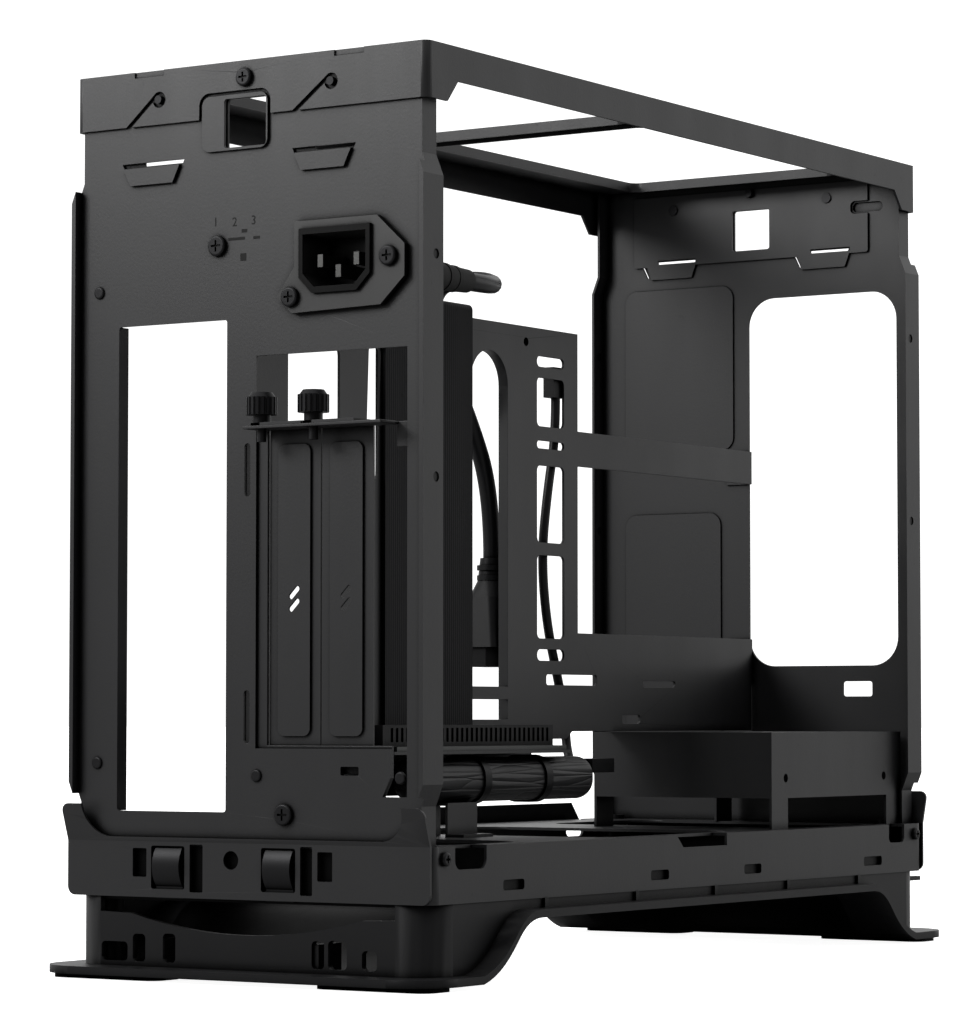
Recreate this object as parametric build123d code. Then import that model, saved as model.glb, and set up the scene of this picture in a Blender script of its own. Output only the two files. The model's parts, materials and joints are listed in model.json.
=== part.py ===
from build123d import *
from math import asin, atan2, cos, degrees, pi, radians, sin, tan
import os

# A tall, narrow mini-ITX computer case with its outer shell lifted off: a folded
# sheet-steel frame on a moulded base, with the fittings that stay inside it.
# Millimetres. Z is up, the rear panel faces +Y and the front panel faces -Y.
# The origin is at the middle of the footprint, on the surface it stands on.

# Whole frame
frame_inset = 1.5
frame_end_inset = 0.5
top_z = 297.0
sheet = 1.0
fit_gap = 0.3
overrun = 1.0

# Moulded base and its pads
flange_reach = (7.0, 11.0)
flange_corner = 16.0
lip_thickness = 2.6
pad_height = 1.6
pad_width = 16.0
moulding_height = 26.7
moulding_wall = 2.4
moulding_inset = 0.5
moulding_corner = 13.0
foot_land = 31.0
foot_length = 52.0
arch_rise = 19.4
arch_run = 34.0
rail_depth = 12.0
dip_depth = 9.3
dip_margin = 26.0
dip_shoulder = 5.4
dip_edge = 5.0
dip_edge_margin = 13.5
dip_sag = 2.0
end_notches = ((47.2, 58.0, 12.0), (39.9, 45.1, 14.7), (27.6, 32.7, 15.1), (-31.5, -26.6, 14.5),
               (-40.2, -33.0, 14.8), (-51.7, -46.0, 12.0))
end_notch_corner = 1.5
rim_thickness = 1.8
rim_top_z = 36.5
rim_root = 1.0
end_rim_x = (-50.0, 58.0)
side_ribs_y = (100.0, 43.0, -10.0, -62.0, -116.0)
side_rib = (2.2, 0.9)
front_catch = (-66.0, -60.0, 9.5, 22.6, 24.2)
web_x = (-28.6, 33.0)
web_thickness = 3.0
web_length = 13.5
screw_boss_r = 4.2
screw_boss_bore_r = 1.4
pad_length = 44.0
pad_corner = 5.0
pad_inset = (4.0, 5.0)

# Steel tray on the moulded base
tray_width = 144.0
tray_length = 336.0
tray_height = 18.0
tray_corner = 5.0
ear_rise = 12.1
ear_width = 8.4
ear_curve = 10.0
ear_flare = 3.9
wall_corner = 3.0
wall_lift = 1.4
far_rim_rise = 6.5
far_rim_y = (-150.0, 142.0)
side_screw_yz = (160.2, 40.8)
vent_inner_x = 45.0
vent_outer_x = -64.0
vent_corner = 12.0
vent_spans = ((99.0, 150.0), (-38.0, 53.0), (-150.0, -82.0))
side_slot_spans = ((113.9, 126.4), (22.8, 34.8), (-41.5, -29.2), (-133.6, -119.2))
side_slot_height = 3.4
side_slot_lift = 3.2
wall_notches = ((136.0, 154.0, 7.4, 3.0), (-152.0, -139.5, 6.8, 2.0))
scoop_y = (-17.0, 13.0)
scoop_slant = 5.6
scoop_depth = 4.3

# Top frame
frame_corner = 2.6
corner_skirt = 18.0
side_skirt = 11.0
skirt_tab = 11.5
skirt_slant = 6.0
side_flange = 25.0
end_flange = 18.0
cross_bar = 11.0
opening_corner = 4.0
hem = 2.6

# Catches shared by the two end panels and the top frame's end skirts
hatch_x = (-9.5, 19.3)
hatch_drop = (9.6, 28.8)
hatch_gap = 1.2
hatch_hole_x = (-7.7, 9.1)
hatch_hole_drop = (12.0, 28.0)
guide_slots = ((48.3, 35.8), (-19.4, -33.4))
guide_drop = 9.85
guide_hole_r = 2.65
guide_pin_r = 1.35
guide_slot_width = 1.5
guide_mouth = 2.0
pin_stand = 1.7
pin_tail = (0.7, 1.9)
edge_notches = ((33.9, 46.0), (-46.2, -34.6))
edge_notch_depth = 2.0
edge_notch_bite = 0.6
top_screw_x = 0.6
top_screw_drop = 5.6
screw_hole_r = 1.75
hook_spans = ((26.0, 51.7), (-42.5, -17.5))
hook_drop = 30.0
hook_height = 6.2
hook_slant = 3.0
hook_rise = 1.2
hook_margin = 1.1
hook_sag = 1.3
hook_top_gap = 1.8
hook_plate_x = (-51.2, 54.2)
hook_plate_drop = (4.0, 32.0)
hook_plate_tabs = ((25.4, 48.5), (-43.4, -19.7))
hook_plate_tab = (5.1, 2.3)
hook_plate_slits = ((25.8, 43.2), (-43.5, -26.0))
hook_plate_slit_z = (265.9, 267.5)
hook_root = 0.3

# End panels
panel_inset = 2.7
guard_low_z = 64.0
guard_high_z = 255.0
guard_slope = 6.8
guard_lip = 3.3
guard_lip_thickness = 1.6
side_return = 8.0
return_hole_r = 1.6
return_hole_z = (160.0, 230.0)
press_depth = 0.7
front_fields = ((10.0, 57.5, 191.5, 254.5), (15.9, 57.5, 60.0, 164.7))
front_field_corner = 4.0
front_window_x = (-62.9, 2.3)
front_window_z = (105.0, 249.5)
front_window_corner = 11.0
front_slots = ((-51.7, -39.0, 93.1, 98.9, 1.0), (-57.3, -44.3, 280.7, 284.5, 1.9))

# Board side: a 170 mm board stands on its edge, with its ports at the rear
board_gap = 6.35
board_edge = 2.5
io_height = 158.75
io_width = 44.45
io_lift = 9.8
io_return = 5.0
io_below_board = 12.5
board_size = 170.0
board_hole_inset = 6.2
board_hole_rows = 157.48
board_hole_front = 165.1
board_hole_slot_side = 10.16
board_hole_port_side = 33.02
standoff_r = 3.0
standoff_bore_r = 1.25

# Spine sheet between the two chambers
spine_x = 1.0
spine_above_holes = 5.57
spine_below_holes = 3.55
spine_leg_front = -4.5
spine_sill_z = 77.2
spine_sill_slant = 4.0
spine_front_bar = -36.0
spine_rear_window = (114.0, 143.0)
spine_slit_window = (91.0, 98.0)
spine_window_z = (100.0, 210.0)
spine_slit_z = (165.0, 210.0)
spine_slit_lean = 2.6
arch_window = (11.0, 34.8)
arch_window_z = (84.2, 214.6)
arch_bar_z = (91.3, 95.8)
arch_lip = 3.0
cable_slot_y = (-26.6, -8.4)
cable_slot_z = ((105.3, 109.4), (113.3, 143.2), (147.8, 175.5), (181.7, 184.5),
                (189.7, 207.2), (211.2, 215.0))
upper_arm_z = (176.5, 189.3)
lower_arm_top_z = 115.6
lower_slits = ((-49.2, -14.5, 96.6, 100.4), (-105.8, -82.1, 96.2, 98.6), (-79.9, -67.0, 82.6, 85.8))
spine_tab = 10.0
spine_foot_z = 49.2
spine_front_tab_z = 98.0
cage_gap = 0.3
lock_tab_z = (228.0, 247.0)
lock_tab_x = 19.0
lock_screw = (12.0, 237.4)
low_lock_screw = (-15.2, 54.0)
front_lock_screw = (7.5, 182.9)
front_low_lock_screw = (7.5, 106.0)

# Expansion slots
slot_open_x = (-62.3, -3.5)
slot_open_z = (75.0, 201.0)
slot_step_x = -56.0
slot_step_z = 60.0
slot_step_cut = (3.0, 6.0)
shelf_z = 178.0
shelf_reach = 9.0
cover_pitch = 20.32
cover_width = 19.8
cover_first_x = -17.75
cover_thickness = 0.9
cover_bottom_z = 73.0
cover_panel_width = 12.6
cover_panel_corner = 2.5
cover_panel_z = (79.0, 172.0)
cover_press = 0.8
vent_slot = (5.2, 1.8)
vent_slot_z = (120.6, 124.6)
cover_tongue = 10.2
tongue_drop = 6.0
bracket_margin = 3.4
bracket_sill = 4.0
guard_plate = (5.5, 8.0)
thumb_head_r = 5.05
thumb_head_height = 5.7
thumb_crown = (4.5, 3.4, 1.5)
thumb_collar_r = 3.0
thumb_y = 172.0
thumb_offset_x = 8.0
thumb_flutes = 18
thumb_flute_r = 0.45
thumb_collar = 2.6
thumb_slot = (6.0, 1.0, 0.4)
thumb_shank_r = 1.5
thumb_shank = 6.0
tab_hole_x = (-43.9, -36.9)
tab_hole_z = (66.6, 69.4)
slit_half_width = 1.2
vent_slot_lean = 135.0
cover_field_rim = 0.8
cover_head = 6.0
panel_slits = ((155.8, 172.9), (76.7, 93.6))

# Mains inlet
inlet_x = -36.3
inlet_z = 229.9
inlet_body = (27.6, 20.9)
inlet_cavity = (24.4, 16.9)
inlet_chamfer = 5.2
inlet_flange = 2.2
inlet_stand = 1.2
inlet_depth = 25.0
inlet_cavity_depth = 16.5
pin_size = (2.0, 4.0)
pin_pitch = 14.0
earth_drop = 3.6
pin_length = 14.0
inlet_screws = ((-56.8, 229.7), (-18.7, 218.8))
inlet_screw_r = 1.65
screw_play = 0.05
inlet_screw_head_r = 3.2
flange_outline = ((-52.0, 242.9), (-62.6, 233.2), (-62.6, 223.1), (-53.4, 214.5),
                  (-19.0, 213.6), (-13.0, 219.0), (-20.0, 228.5), (-20.0, 242.9))
inlet_back_length = 16.0
inlet_back_end = (15.0, 14.0)
boot_r = 6.0
boot_tip_r = 3.9
boot_rib_width = 1.8
boot_rib_rise = 0.6
boot_rib_count = 5
boot_tip_y = 94.0

# Mains lead and its socket plug
lead_diameter = 6.2
plug_y = 1.2
plug_top_z = 134.0
plug_height = 31.0
plug_size = (18.0, 22.0)
plug_neck_r = 5.0
plug_neck_height = 8.0
plug_waist = (13.0, 15.0)
plug_shoulder = 6.0
plug_nose = (15.6, 19.6)
plug_nose_height = 9.0
plug_nose_cut = 4.0
plug_contacts = ((0.0, -7.0), (-3.6, 0.0), (0.0, 7.0))
plug_contact_hole = (4.6, 2.4, 6.0)

# Card extender: socket board, flat ribbon and the edge plug behind the spine
socket_x = -11.6
socket_y = (7.0, 112.0)
socket_width = 7.4
socket_height = 7.2
socket_rib_pitch = 3.0
socket_slot_width = 1.8
socket_key = 18.0
socket_rib_depth = 0.6
socket_floor = 1.5
extender_board = 1.6
bracket_shelf_z = 73.6
bracket_shelf_x = -22.0
bracket_flange_top = 80.0
ribbon_y = (36.1, 89.5)
ribbon_thickness = 1.3
ribbon_clear = 0.3
ribbon_crest_z = 229.4
ribbon_drop_z = 150.0
edge_board_height = 26.0
edge_board_y = (36.5, 122.0)
edge_clamp_reach = 5.0
edge_clamp_height = 9.0
edge_key = (14.0, 16.0, 8.0)

# Small drive cage under the spine
cage_x = (-66.0, 9.0)
cage_length = 101.0
cage_front_gap = 4.5
cage_z = (55.8, 79.6)
cage_hole_r = 1.6
cage_hole_inset = (14.0, 10.5)
cage_hole_z = 63.0
cage_foot = 12.0
cage_window = (44.0, 22.0, 18.0, 6.0)

# Bundled front cables
hank_y = (-14.0, 90.0)
hank_x = -11.6
hank_width = 19.0
hank_height = 15.0
hank_tie_y = (17.0, 56.0)
hank_tie_width = 4.0
hank_tie_sheet = 0.8
hank_corner = 6.8
hank_end_r = 5.0
saddle_y = (62.0, 80.0)
saddle_width = 16.0
saddle_foot = 6.5
front_plug_length = 15.0
front_plug_size = (8.0, 5.0)
front_stub_r = 2.2
front_stub = 5.0
front_plug_lift = 4.0

# Thin lead from the bundle up the spine to a header plug
io_lead_diameter = 3.4
io_plug_size = (4.4, 8.0, 11.0)
io_plug_low_z = 201.0

# Spring clips that hold the outer shell
clip_x = ((-20.5, -7.0), (23.7, 37.3))
clip_z = (29.4, 43.4)
clip_bulge = 2.0
clip_sheet = 0.8
clip_side_gap = 1.4
clip_tail = 3.0
clip_slots_x = ((39.2, 44.9), (-34.9, -29.1))
clip_slots_z = (33.2, 42.5)
band_slots_x = ((16.3, 21.6), (-27.1, -22.4))
band_slots_z = (28.6, 44.0)
service_hole = (5.0, 39.2)
service_hole_r = 3.0

# Fasteners
rivet_r = 2.0
rivet_dome = 0.8
rivets_rear = ((-4.1, 66.3), (-60.0, 66.0), (61.0, 225.0), (61.0, 70.0))
pan_head_r = 3.0
lock_head_r = 3.4
pan_head_height = 1.6
pan_head_round = 0.7
cross_share = 1.1
cross_width = 0.7
screw_shank_r = 1.5
panel_screw_length = 5.0
inlet_screw_length = 6.0
side_screw_length = 2.5
side_screw_head_r = 2.2
base_screw_length = 8.0
rivet_round = 0.6
base_screw_xy = (60.0, 160.0)

# Levels and faces worked out from the sizes above
frame_width = tray_width - 2 * frame_inset
frame_length = tray_length - 2 * frame_end_inset
panel_width = frame_width - 2 * panel_inset
guard_width = frame_width
flange_width = tray_width + 2 * flange_reach[0]
flange_length = tray_length + 2 * flange_reach[1]
deck_z = moulding_height + tray_height
panel_y = frame_length / 2 - sheet
inner_y = panel_y - sheet
tray_wall_y = tray_length / 2
spine_face = spine_x + sheet
hank_z = bracket_shelf_z - sheet - 2 * fit_gap - hank_tie_sheet - hank_height / 2
plug_x = spine_face + arch_lip + fit_gap + plug_size[0] / 2
lead_end_z = plug_top_z + plug_neck_height
lead_route = (
    (inlet_x, boot_tip_y, inlet_z),
    (inlet_x, 73.0, inlet_z),
    (-19.0, 59.0, 235.0),
    (4.0, 53.5, 235.5),
    (15.0, 38.0, 220.0),
    (14.6, 17.0, 194.0),
    (plug_x, plug_y, 166.0),
    (plug_x, plug_y, lead_end_z),
)
io_lead_x = spine_face + fit_gap + io_lead_diameter / 2
hank_low_z = hank_z - 3.2
io_lead_end_x = hank_x + 4.2
io_lead_route = (
    (io_lead_x, -25.5, io_plug_low_z),
    (io_lead_x, -25.5, 187.0),
    (io_lead_x, -20.0, 167.0),
    (io_lead_x, -15.9, 143.0),
    (io_lead_x + 0.5, -20.0, 119.0),
    (io_lead_x + 0.5, -28.5, 97.0),
    (io_lead_x + 0.4, -32.5, 84.0),
    (io_lead_x - 0.4, -32.0, 75.0),
    (0.2, -29.5, 67.8),
    (io_lead_end_x + 2.5, -24.2, hank_low_z + 2.9),
    (io_lead_end_x, -18.6, hank_low_z + 2.0),
    (io_lead_end_x, hank_y[0], hank_low_z + 2.0),
)
cage_y = (cage_front_gap - inner_y, cage_front_gap - inner_y + cage_length)
cage_hole_y = (cage_y[0] + cage_hole_inset[0], cage_y[1] - cage_hole_inset[1])
board_x = spine_face + board_gap
spine_front_y = sheet - inner_y
io_x = (board_x, board_x + io_width)
io_z = (deck_z + io_lift, deck_z + io_lift + io_height)
board_rear_y = panel_y - board_edge
board_low_z = io_z[1] + io_below_board - board_size
spine_top_z = board_low_z + board_hole_inset + board_hole_rows + spine_above_holes
spine_leg_z = board_low_z + board_hole_inset - spine_below_holes
board_holes = (
    (board_rear_y - board_hole_slot_side, board_low_z + board_hole_inset + board_hole_rows),
    (board_rear_y - board_hole_front, board_low_z + board_hole_inset + board_hole_rows),
    (board_rear_y - board_hole_port_side, board_low_z + board_hole_inset),
    (board_rear_y - board_hole_front, board_low_z + board_hole_inset),
)


# Building helpers
def both(size):
    """Limits of a size centred on zero."""
    return (-size / 2, size / 2)


def slab(x, y, z):
    """Box between a pair of limits on each axis."""
    middle = Pos((x[0] + x[1]) / 2, (y[0] + y[1]) / 2, (z[0] + z[1]) / 2)
    return middle * Box(abs(x[1] - x[0]), abs(y[1] - y[0]), abs(z[1] - z[0]))


def window(across, up, corner=0.0):
    """Rectangle between two pairs of limits, with round corners if asked."""
    width = abs(across[1] - across[0])
    height = abs(up[1] - up[0])
    middle = Pos((across[0] + across[1]) / 2, (up[0] + up[1]) / 2)
    if corner > 0:
        return middle * RectangleRounded(width, height, min(corner, 0.49 * width, 0.49 * height))
    return middle * Rectangle(width, height)


def outline(points):
    """Closed face through points in order."""
    return make_face(Polyline(*points, close=True))


def along_y(sketch, face_y, depth):
    """X and Z sketch, extruded from face_y towards the front."""
    return Pos(0, face_y, 0) * extrude(Plane.XZ * sketch, depth)


def along_x(sketch, face_x, depth):
    """Y and Z sketch, extruded from face_x towards +X."""
    return Pos(face_x, 0, 0) * extrude(Plane.YZ * sketch, depth)


def along_z(sketch, face_z, depth):
    """X and Y sketch, extruded from face_z upwards."""
    return Pos(0, 0, face_z) * extrude(sketch, depth)


def disc(radius, across, up):
    """Circle at a point of a sketch."""
    return Pos(across, up) * Circle(radius)


def at_both_ends(shape):
    """A rear feature and its mirror image at the front."""
    return shape + mirror(shape, about=Plane.XZ)


def base_screw_places():
    """X and Y of the screws that hold the tray to the moulded base."""
    across, along = base_screw_xy
    return [(x, y) for x in (-across, across) for y in (-along, along)]


def side_screw_places():
    """Place and side of the screws in the tray's side walls, near its corners."""
    along, up = side_screw_yz
    return [(side * tray_width / 2, end * along, up, side) for side in (-1, 1) for end in (-1, 1)]


def guide_slot(foot_x, hole_x):
    """Slanted slot that runs up from a skirt's lower edge and curls round its pin."""
    foot_z = top_z - corner_skirt
    hole_z = top_z - guide_drop
    run = hole_x - foot_x
    rise = hole_z - foot_z
    reach = (run * run + rise * rise) ** 0.5
    side = guide_hole_r - guide_slot_width / 2
    heading = atan2(rise, run) - asin(side / reach)
    length = (reach * reach - side * side) ** 0.5
    half = (length - guide_mouth) / 2
    middle = Pos(foot_x + half * cos(heading), foot_z + half * sin(heading))
    bar = middle * Rot(0, 0, degrees(heading)) * Rectangle(length + guide_mouth, guide_slot_width)
    return bar + disc(guide_hole_r, hole_x, hole_z)


def top_frame():
    """Folded top frame: flange with a cross bar, hemmed openings and skirts."""
    low_z = top_z - corner_skirt
    end_y = frame_length / 2
    outside = along_z(window(both(frame_width), both(frame_length), frame_corner), low_z, corner_skirt)
    bay = window(both(frame_width - 2 * sheet), both(frame_length - 2 * sheet), frame_corner - sheet)
    frame = outside - along_z(bay, low_z, corner_skirt - sheet)
    tab = end_y - skirt_tab
    side_z = top_z - side_skirt
    relief = outline([(-tab, low_z - overrun), (tab, low_z - overrun), (tab, low_z),
                      (tab - skirt_slant, side_z), (skirt_slant - tab, side_z), (-tab, low_z)])
    frame -= along_x(relief, -frame_width, 2 * frame_width)
    opening_x = both(frame_width - 2 * side_flange)
    opening_y = (cross_bar / 2, end_y - end_flange)
    opening = window(opening_x, opening_y, opening_corner)
    rim = window((opening_x[0] - sheet, opening_x[1] + sheet), (opening_y[0] - sheet, opening_y[1] + sheet),
                 opening_corner + sheet)
    frame += at_both_ends(along_z(rim - opening, top_z - hem - sheet, hem + sheet))
    frame -= at_both_ends(along_z(opening, top_z - hem - 2 * overrun, hem + 3 * overrun))
    end_cuts = window(hatch_x, (low_z - corner_skirt, top_z - hatch_drop[0]), opening_corner)
    end_cuts += disc(screw_hole_r, top_screw_x, top_z - top_screw_drop)
    for foot_x, hole_x in guide_slots:
        end_cuts += guide_slot(foot_x, hole_x)
    frame -= at_both_ends(along_y(end_cuts, end_y + overrun, sheet + 1.5 * overrun))
    notch_y = (end_y - edge_notch_bite, end_y + overrun)
    for span in edge_notches:
        frame -= at_both_ends(slab(span, notch_y, (top_z - edge_notch_depth, top_z + overrun)))
    return frame


def panel_outline(inset, extra):
    """End panel's outline: wider between the two steps of its side guards."""
    narrow = panel_width / 2 - inset
    wide = guard_width / 2 - inset
    low = deck_z - extra
    high = top_z - sheet + extra
    right = [(narrow, low), (narrow, guard_low_z - guard_slope), (wide, guard_low_z),
             (wide, guard_high_z), (narrow, guard_high_z + guard_slope), (narrow, high)]
    left = [(-x, z) for x, z in reversed(right)]
    return outline(right + left)


def pressed(panel, x, z, corner):
    """Press a rectangle into a panel's outer face; its back stands out as far."""
    shape = window(x, z, corner)
    back = window((x[0] - sheet, x[1] + sheet), (z[0] - sheet, z[1] + sheet), corner + sheet)
    panel -= along_y(shape, panel_y, press_depth)
    panel += along_y(back, panel_y - press_depth, sheet)
    return panel


def raised(panel, x, z, corner):
    """Press a rectangle outwards from a panel; its back is hollow."""
    shape = window(x, z, corner)
    back = window((x[0] + sheet, x[1] - sheet), (z[0] + sheet, z[1] - sheet), corner - sheet)
    panel += along_y(shape, panel_y + sheet, sheet + hook_root)
    panel -= along_y(back, panel_y, 2 * sheet)
    return panel


def shell_hook(span):
    """Tab raised from an end panel over a slot, to catch the outer shell."""
    low = top_z - hook_drop - hook_height
    high = top_z - hook_drop
    slot = outline([(span[0] + hook_slant, low), (span[1] - hook_slant, low),
                    (span[1], high), (span[0], high)])
    inset = hook_slant + hook_margin
    tab = outline([(span[0] + inset, low - hook_sag), (span[1] - inset, low - hook_sag),
                   (span[1] - hook_sag, high - hook_top_gap), (span[0] + hook_sag, high - hook_top_gap)])
    return slot, along_y(tab, panel_y + hook_rise, hook_rise + hook_root)


def end_panel():
    """Folded panel with side returns and guards, shared by the front and the rear."""
    panel = along_y(panel_outline(0, 0), panel_y, side_return)
    panel -= along_y(panel_outline(sheet, side_return), inner_y, side_return)
    lip = along_y(panel_outline(0, 0), panel_y + guard_lip, guard_lip + hook_root)
    lip_x = guard_width / 2 - guard_lip_thickness
    panel += lip - slab(both(2 * lip_x), (panel_y - sheet, panel_y + 2 * guard_lip), (0, top_z))
    hatch_low = top_z - hatch_drop[1]
    hatch_high = top_z - hatch_drop[0] - hatch_gap
    panel = raised(panel, (hatch_x[0] + hatch_gap, hatch_x[1] - hatch_gap), (hatch_low, hatch_high),
                   opening_corner - sheet)
    cuts = window(hatch_hole_x, (top_z - hatch_hole_drop[1], top_z - hatch_hole_drop[0]), sheet)
    cuts += disc(screw_hole_r, top_screw_x, top_z - top_screw_drop)
    for foot_x, hole_x in guide_slots:
        cuts += disc(guide_pin_r, hole_x, top_z - guide_drop)
    for span in hook_spans:
        slot, tab = shell_hook(span)
        panel += tab
        cuts += slot
    panel -= along_y(cuts, panel_y + 2 * sheet, 6 * sheet)
    for span in hook_spans:
        panel += shell_hook(span)[1]
    for z in return_hole_z:
        panel -= along_x(disc(return_hole_r, panel_y - side_return / 2, z), -guard_width, 2 * guard_width)
    return panel


def hook_plate():
    """Plate behind a panel's top, pinned to it, with two tabs under its slits."""
    high = top_z - hook_plate_drop[0]
    low = top_z - hook_plate_drop[1]
    drop, slant = hook_plate_tab
    shape = window(hook_plate_x, (low, high), sheet)
    for span in hook_plate_tabs:
        shape += outline([(span[0], low + sheet), (span[1], low + sheet), (span[1] - slant, low - drop),
                          (span[0] + slant, low - drop)])
    shape -= window(hatch_hole_x, (top_z - hatch_hole_drop[1], top_z - hatch_hole_drop[0]), sheet)
    shape -= disc(screw_hole_r, top_screw_x, top_z - top_screw_drop)
    for foot_x, hole_x in guide_slots:
        shape -= disc(guide_pin_r, hole_x, top_z - guide_drop)
    for span in hook_plate_slits:
        shape -= window(span, hook_plate_slit_z, sheet / 2)
    return along_y(shape, inner_y, sheet)


def front_hook_plate():
    """The front panel's plate, cut back round the slot in that panel's corner."""
    x0, x1, z0, z1, corner = front_slots[1]
    clear = 2 * fit_gap
    bite = window((x0 - clear, x1 + clear), (z0 - clear, z1 + clear), corner)
    return mirror(hook_plate() - along_y(bite, inner_y + overrun, 3 * sheet), about=Plane.XZ)


def rear_panel():
    """Rear panel with the port opening, slot opening and inlet cut-out."""
    panel = end_panel()
    panel += slab((io_x[1], io_x[1] + sheet), (panel_y - io_return, panel_y), io_z)
    cuts = window(io_x, io_z, sheet)
    cuts += outline([(slot_open_x[1], slot_open_z[0]), (slot_open_x[1], slot_open_z[1]),
                     (slot_open_x[0], slot_open_z[1]), (slot_open_x[0], slot_step_z),
                     (slot_step_x + slot_step_cut[0], slot_step_z),
                     (slot_step_x, slot_step_z + slot_step_cut[1]), (slot_step_x, slot_open_z[0])])
    cuts += window(tab_hole_x, tab_hole_z, sheet / 2)
    for span in panel_slits:
        cuts += window(both(2 * slit_half_width), span, slit_half_width)
    half_width = inlet_body[0] / 2 + fit_gap
    half_height = inlet_body[1] / 2 + fit_gap
    inlet_span_z = (inlet_z - half_height, inlet_z + half_height)
    cuts += window((inlet_x - half_width, inlet_x + half_width), inlet_span_z, sheet)
    for x, z in inlet_screws:
        cuts += disc(inlet_screw_r, x, z)
    for x, z in (lock_screw, low_lock_screw):
        cuts += disc(screw_hole_r, x, z)
    return panel - along_y(cuts, panel_y + overrun, sheet + overrun)


def front_panel():
    """Front panel with one large window and two pressed fields."""
    panel = end_panel()
    for x0, x1, z0, z1 in front_fields:
        panel = pressed(panel, (x0, x1), (z0, z1), front_field_corner)
    cuts = window(front_window_x, front_window_z, front_window_corner)
    for x0, x1, z0, z1, corner in front_slots:
        cuts += window((x0, x1), (z0, z1), corner)
    for x, z in (front_lock_screw, front_low_lock_screw):
        cuts += disc(screw_hole_r, x, z)
    return mirror(panel - along_y(cuts, panel_y + overrun, 4 * sheet), about=Plane.XZ)


def tray_end_wall():
    """Rear wall of the tray: ears that flare outwards and curve down to its middle."""
    ear = deck_z + ear_rise
    inside = tray_wall_y - sheet
    section = outline([(inside, moulding_height), (tray_wall_y, moulding_height), (tray_wall_y, deck_z),
                       (tray_wall_y + ear_flare, ear), (inside + ear_flare, ear), (inside, deck_z)])
    wall = along_x(section, -tray_width / 2, tray_width)
    shape = window(both(tray_width), (moulding_height, ear), wall_corner)
    shape -= window(both(tray_width - 2 * ear_width), (deck_z + wall_lift, deck_z + top_z), ear_curve)
    wall = wall & along_y(shape, tray_wall_y + 2 * ear_flare, 3 * ear_flare)
    cuts = disc(service_hole_r, *service_hole)
    for span in clip_slots_x:
        cuts += window(span, clip_slots_z, sheet / 2)
    for span in band_slots_x:
        cuts += window(span, band_slots_z, sheet / 2)
    for span in clip_x:
        cuts += window(span, clip_z, clip_sheet)
    return wall, along_y(cuts, tray_wall_y + overrun, sheet + 2 * overrun)


def base_tray():
    """Steel tray turned upside down: deck with vents, side walls and end walls."""
    outside = along_z(window(both(tray_width), both(tray_length), tray_corner), moulding_height, tray_height)
    bay = window(both(tray_width - 2 * sheet), both(tray_length - 2 * sheet), tray_corner - sheet)
    tray = outside - along_z(bay, moulding_height, tray_height - sheet)
    wall, wall_cuts = tray_end_wall()
    tray += at_both_ends(wall)
    tray -= at_both_ends(wall_cuts)
    deck_cuts = [window((vent_outer_x, vent_inner_x), span, vent_corner) for span in vent_spans]
    deck_cuts += [disc(screw_hole_r, x, y) for x, y in base_screw_places()]
    for cut in deck_cuts:
        tray -= along_z(cut, deck_z - 2 * sheet, 4 * sheet)
    scoop_low = deck_z - scoop_depth
    scoop_high = deck_z + overrun
    walls = outline([(scoop_y[1] + scoop_slant, scoop_high), (scoop_y[1], scoop_low),
                     (scoop_y[0], scoop_low), (scoop_y[0], scoop_high)])
    for low_y, high_y, depth, corner in wall_notches:
        walls += window((low_y, high_y), (deck_z - depth, deck_z + 2 * corner), corner)
    slot_low = moulding_height + side_slot_lift
    for span in side_slot_spans:
        walls += window(span, (slot_low, slot_low + side_slot_height), sheet)
    bite = tray_corner + 2 * overrun
    half = tray_width / 2
    for side in (-half - overrun, half + overrun - bite):
        tray -= along_x(walls, side, bite)
    rim_low, rim_high = far_rim_y
    rim_z = deck_z + far_rim_rise
    rim = outline([(rim_low, deck_z - sheet), (rim_high, deck_z - sheet), (rim_high - far_rim_rise, rim_z),
                   (rim_low + far_rim_rise, rim_z)])
    tray += along_x(rim, half - sheet, sheet)
    for x, y, z, _ in side_screw_places():
        tray -= along_x(disc(screw_shank_r + screw_play, y, z), x - 2 * sheet, 4 * sheet)
    return tray


def arch_line():
    """Where the underside runs: foot, rising curve, arch, falling curve, foot."""
    foot = flange_length / 2 - foot_land
    low = pad_height
    high = pad_height + arch_rise
    middle = (foot - arch_run / 2, (low + high) / 2)
    rise = Spline((foot, low), middle, (foot - arch_run, high), tangents=((-1, 0.25), (-1, 0)))
    fall = mirror(rise, about=Plane.YZ)
    return foot, low, high, rise, fall


def base_section(top):
    """Side profile of the base between its arched underside and a flat top."""
    foot, low, high, rise, fall = arch_line()
    half = flange_length / 2
    crown = foot - arch_run
    edges = [Line((half, low), (foot, low)), rise, Line((crown, high), (-crown, high)), fall,
             Line((-foot, low), (-half, low)), Line((-half, low), (-half, top)),
             Line((-half, top), (half, top)), Line((half, top), (half, low))]
    return make_face(edges)


def end_dip():
    """Long dip in the top edge of the moulding's end walls, in X and Z."""
    half = tray_width / 2 - dip_margin
    edge = tray_width / 2 - dip_edge_margin
    shoulder_z = moulding_height - dip_shoulder
    edge_z = moulding_height - dip_edge
    top = moulding_height + overrun
    low = moulding_height - dip_depth - dip_sag
    arc = ThreePointArc((-half, shoulder_z), (0, low), (half, shoulder_z))
    rim = Polyline((half, shoulder_z), (edge, edge_z), (edge, top), (-edge, top), (-edge, edge_z),
                   (-half, shoulder_z))
    return make_face([arc, rim])


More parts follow.
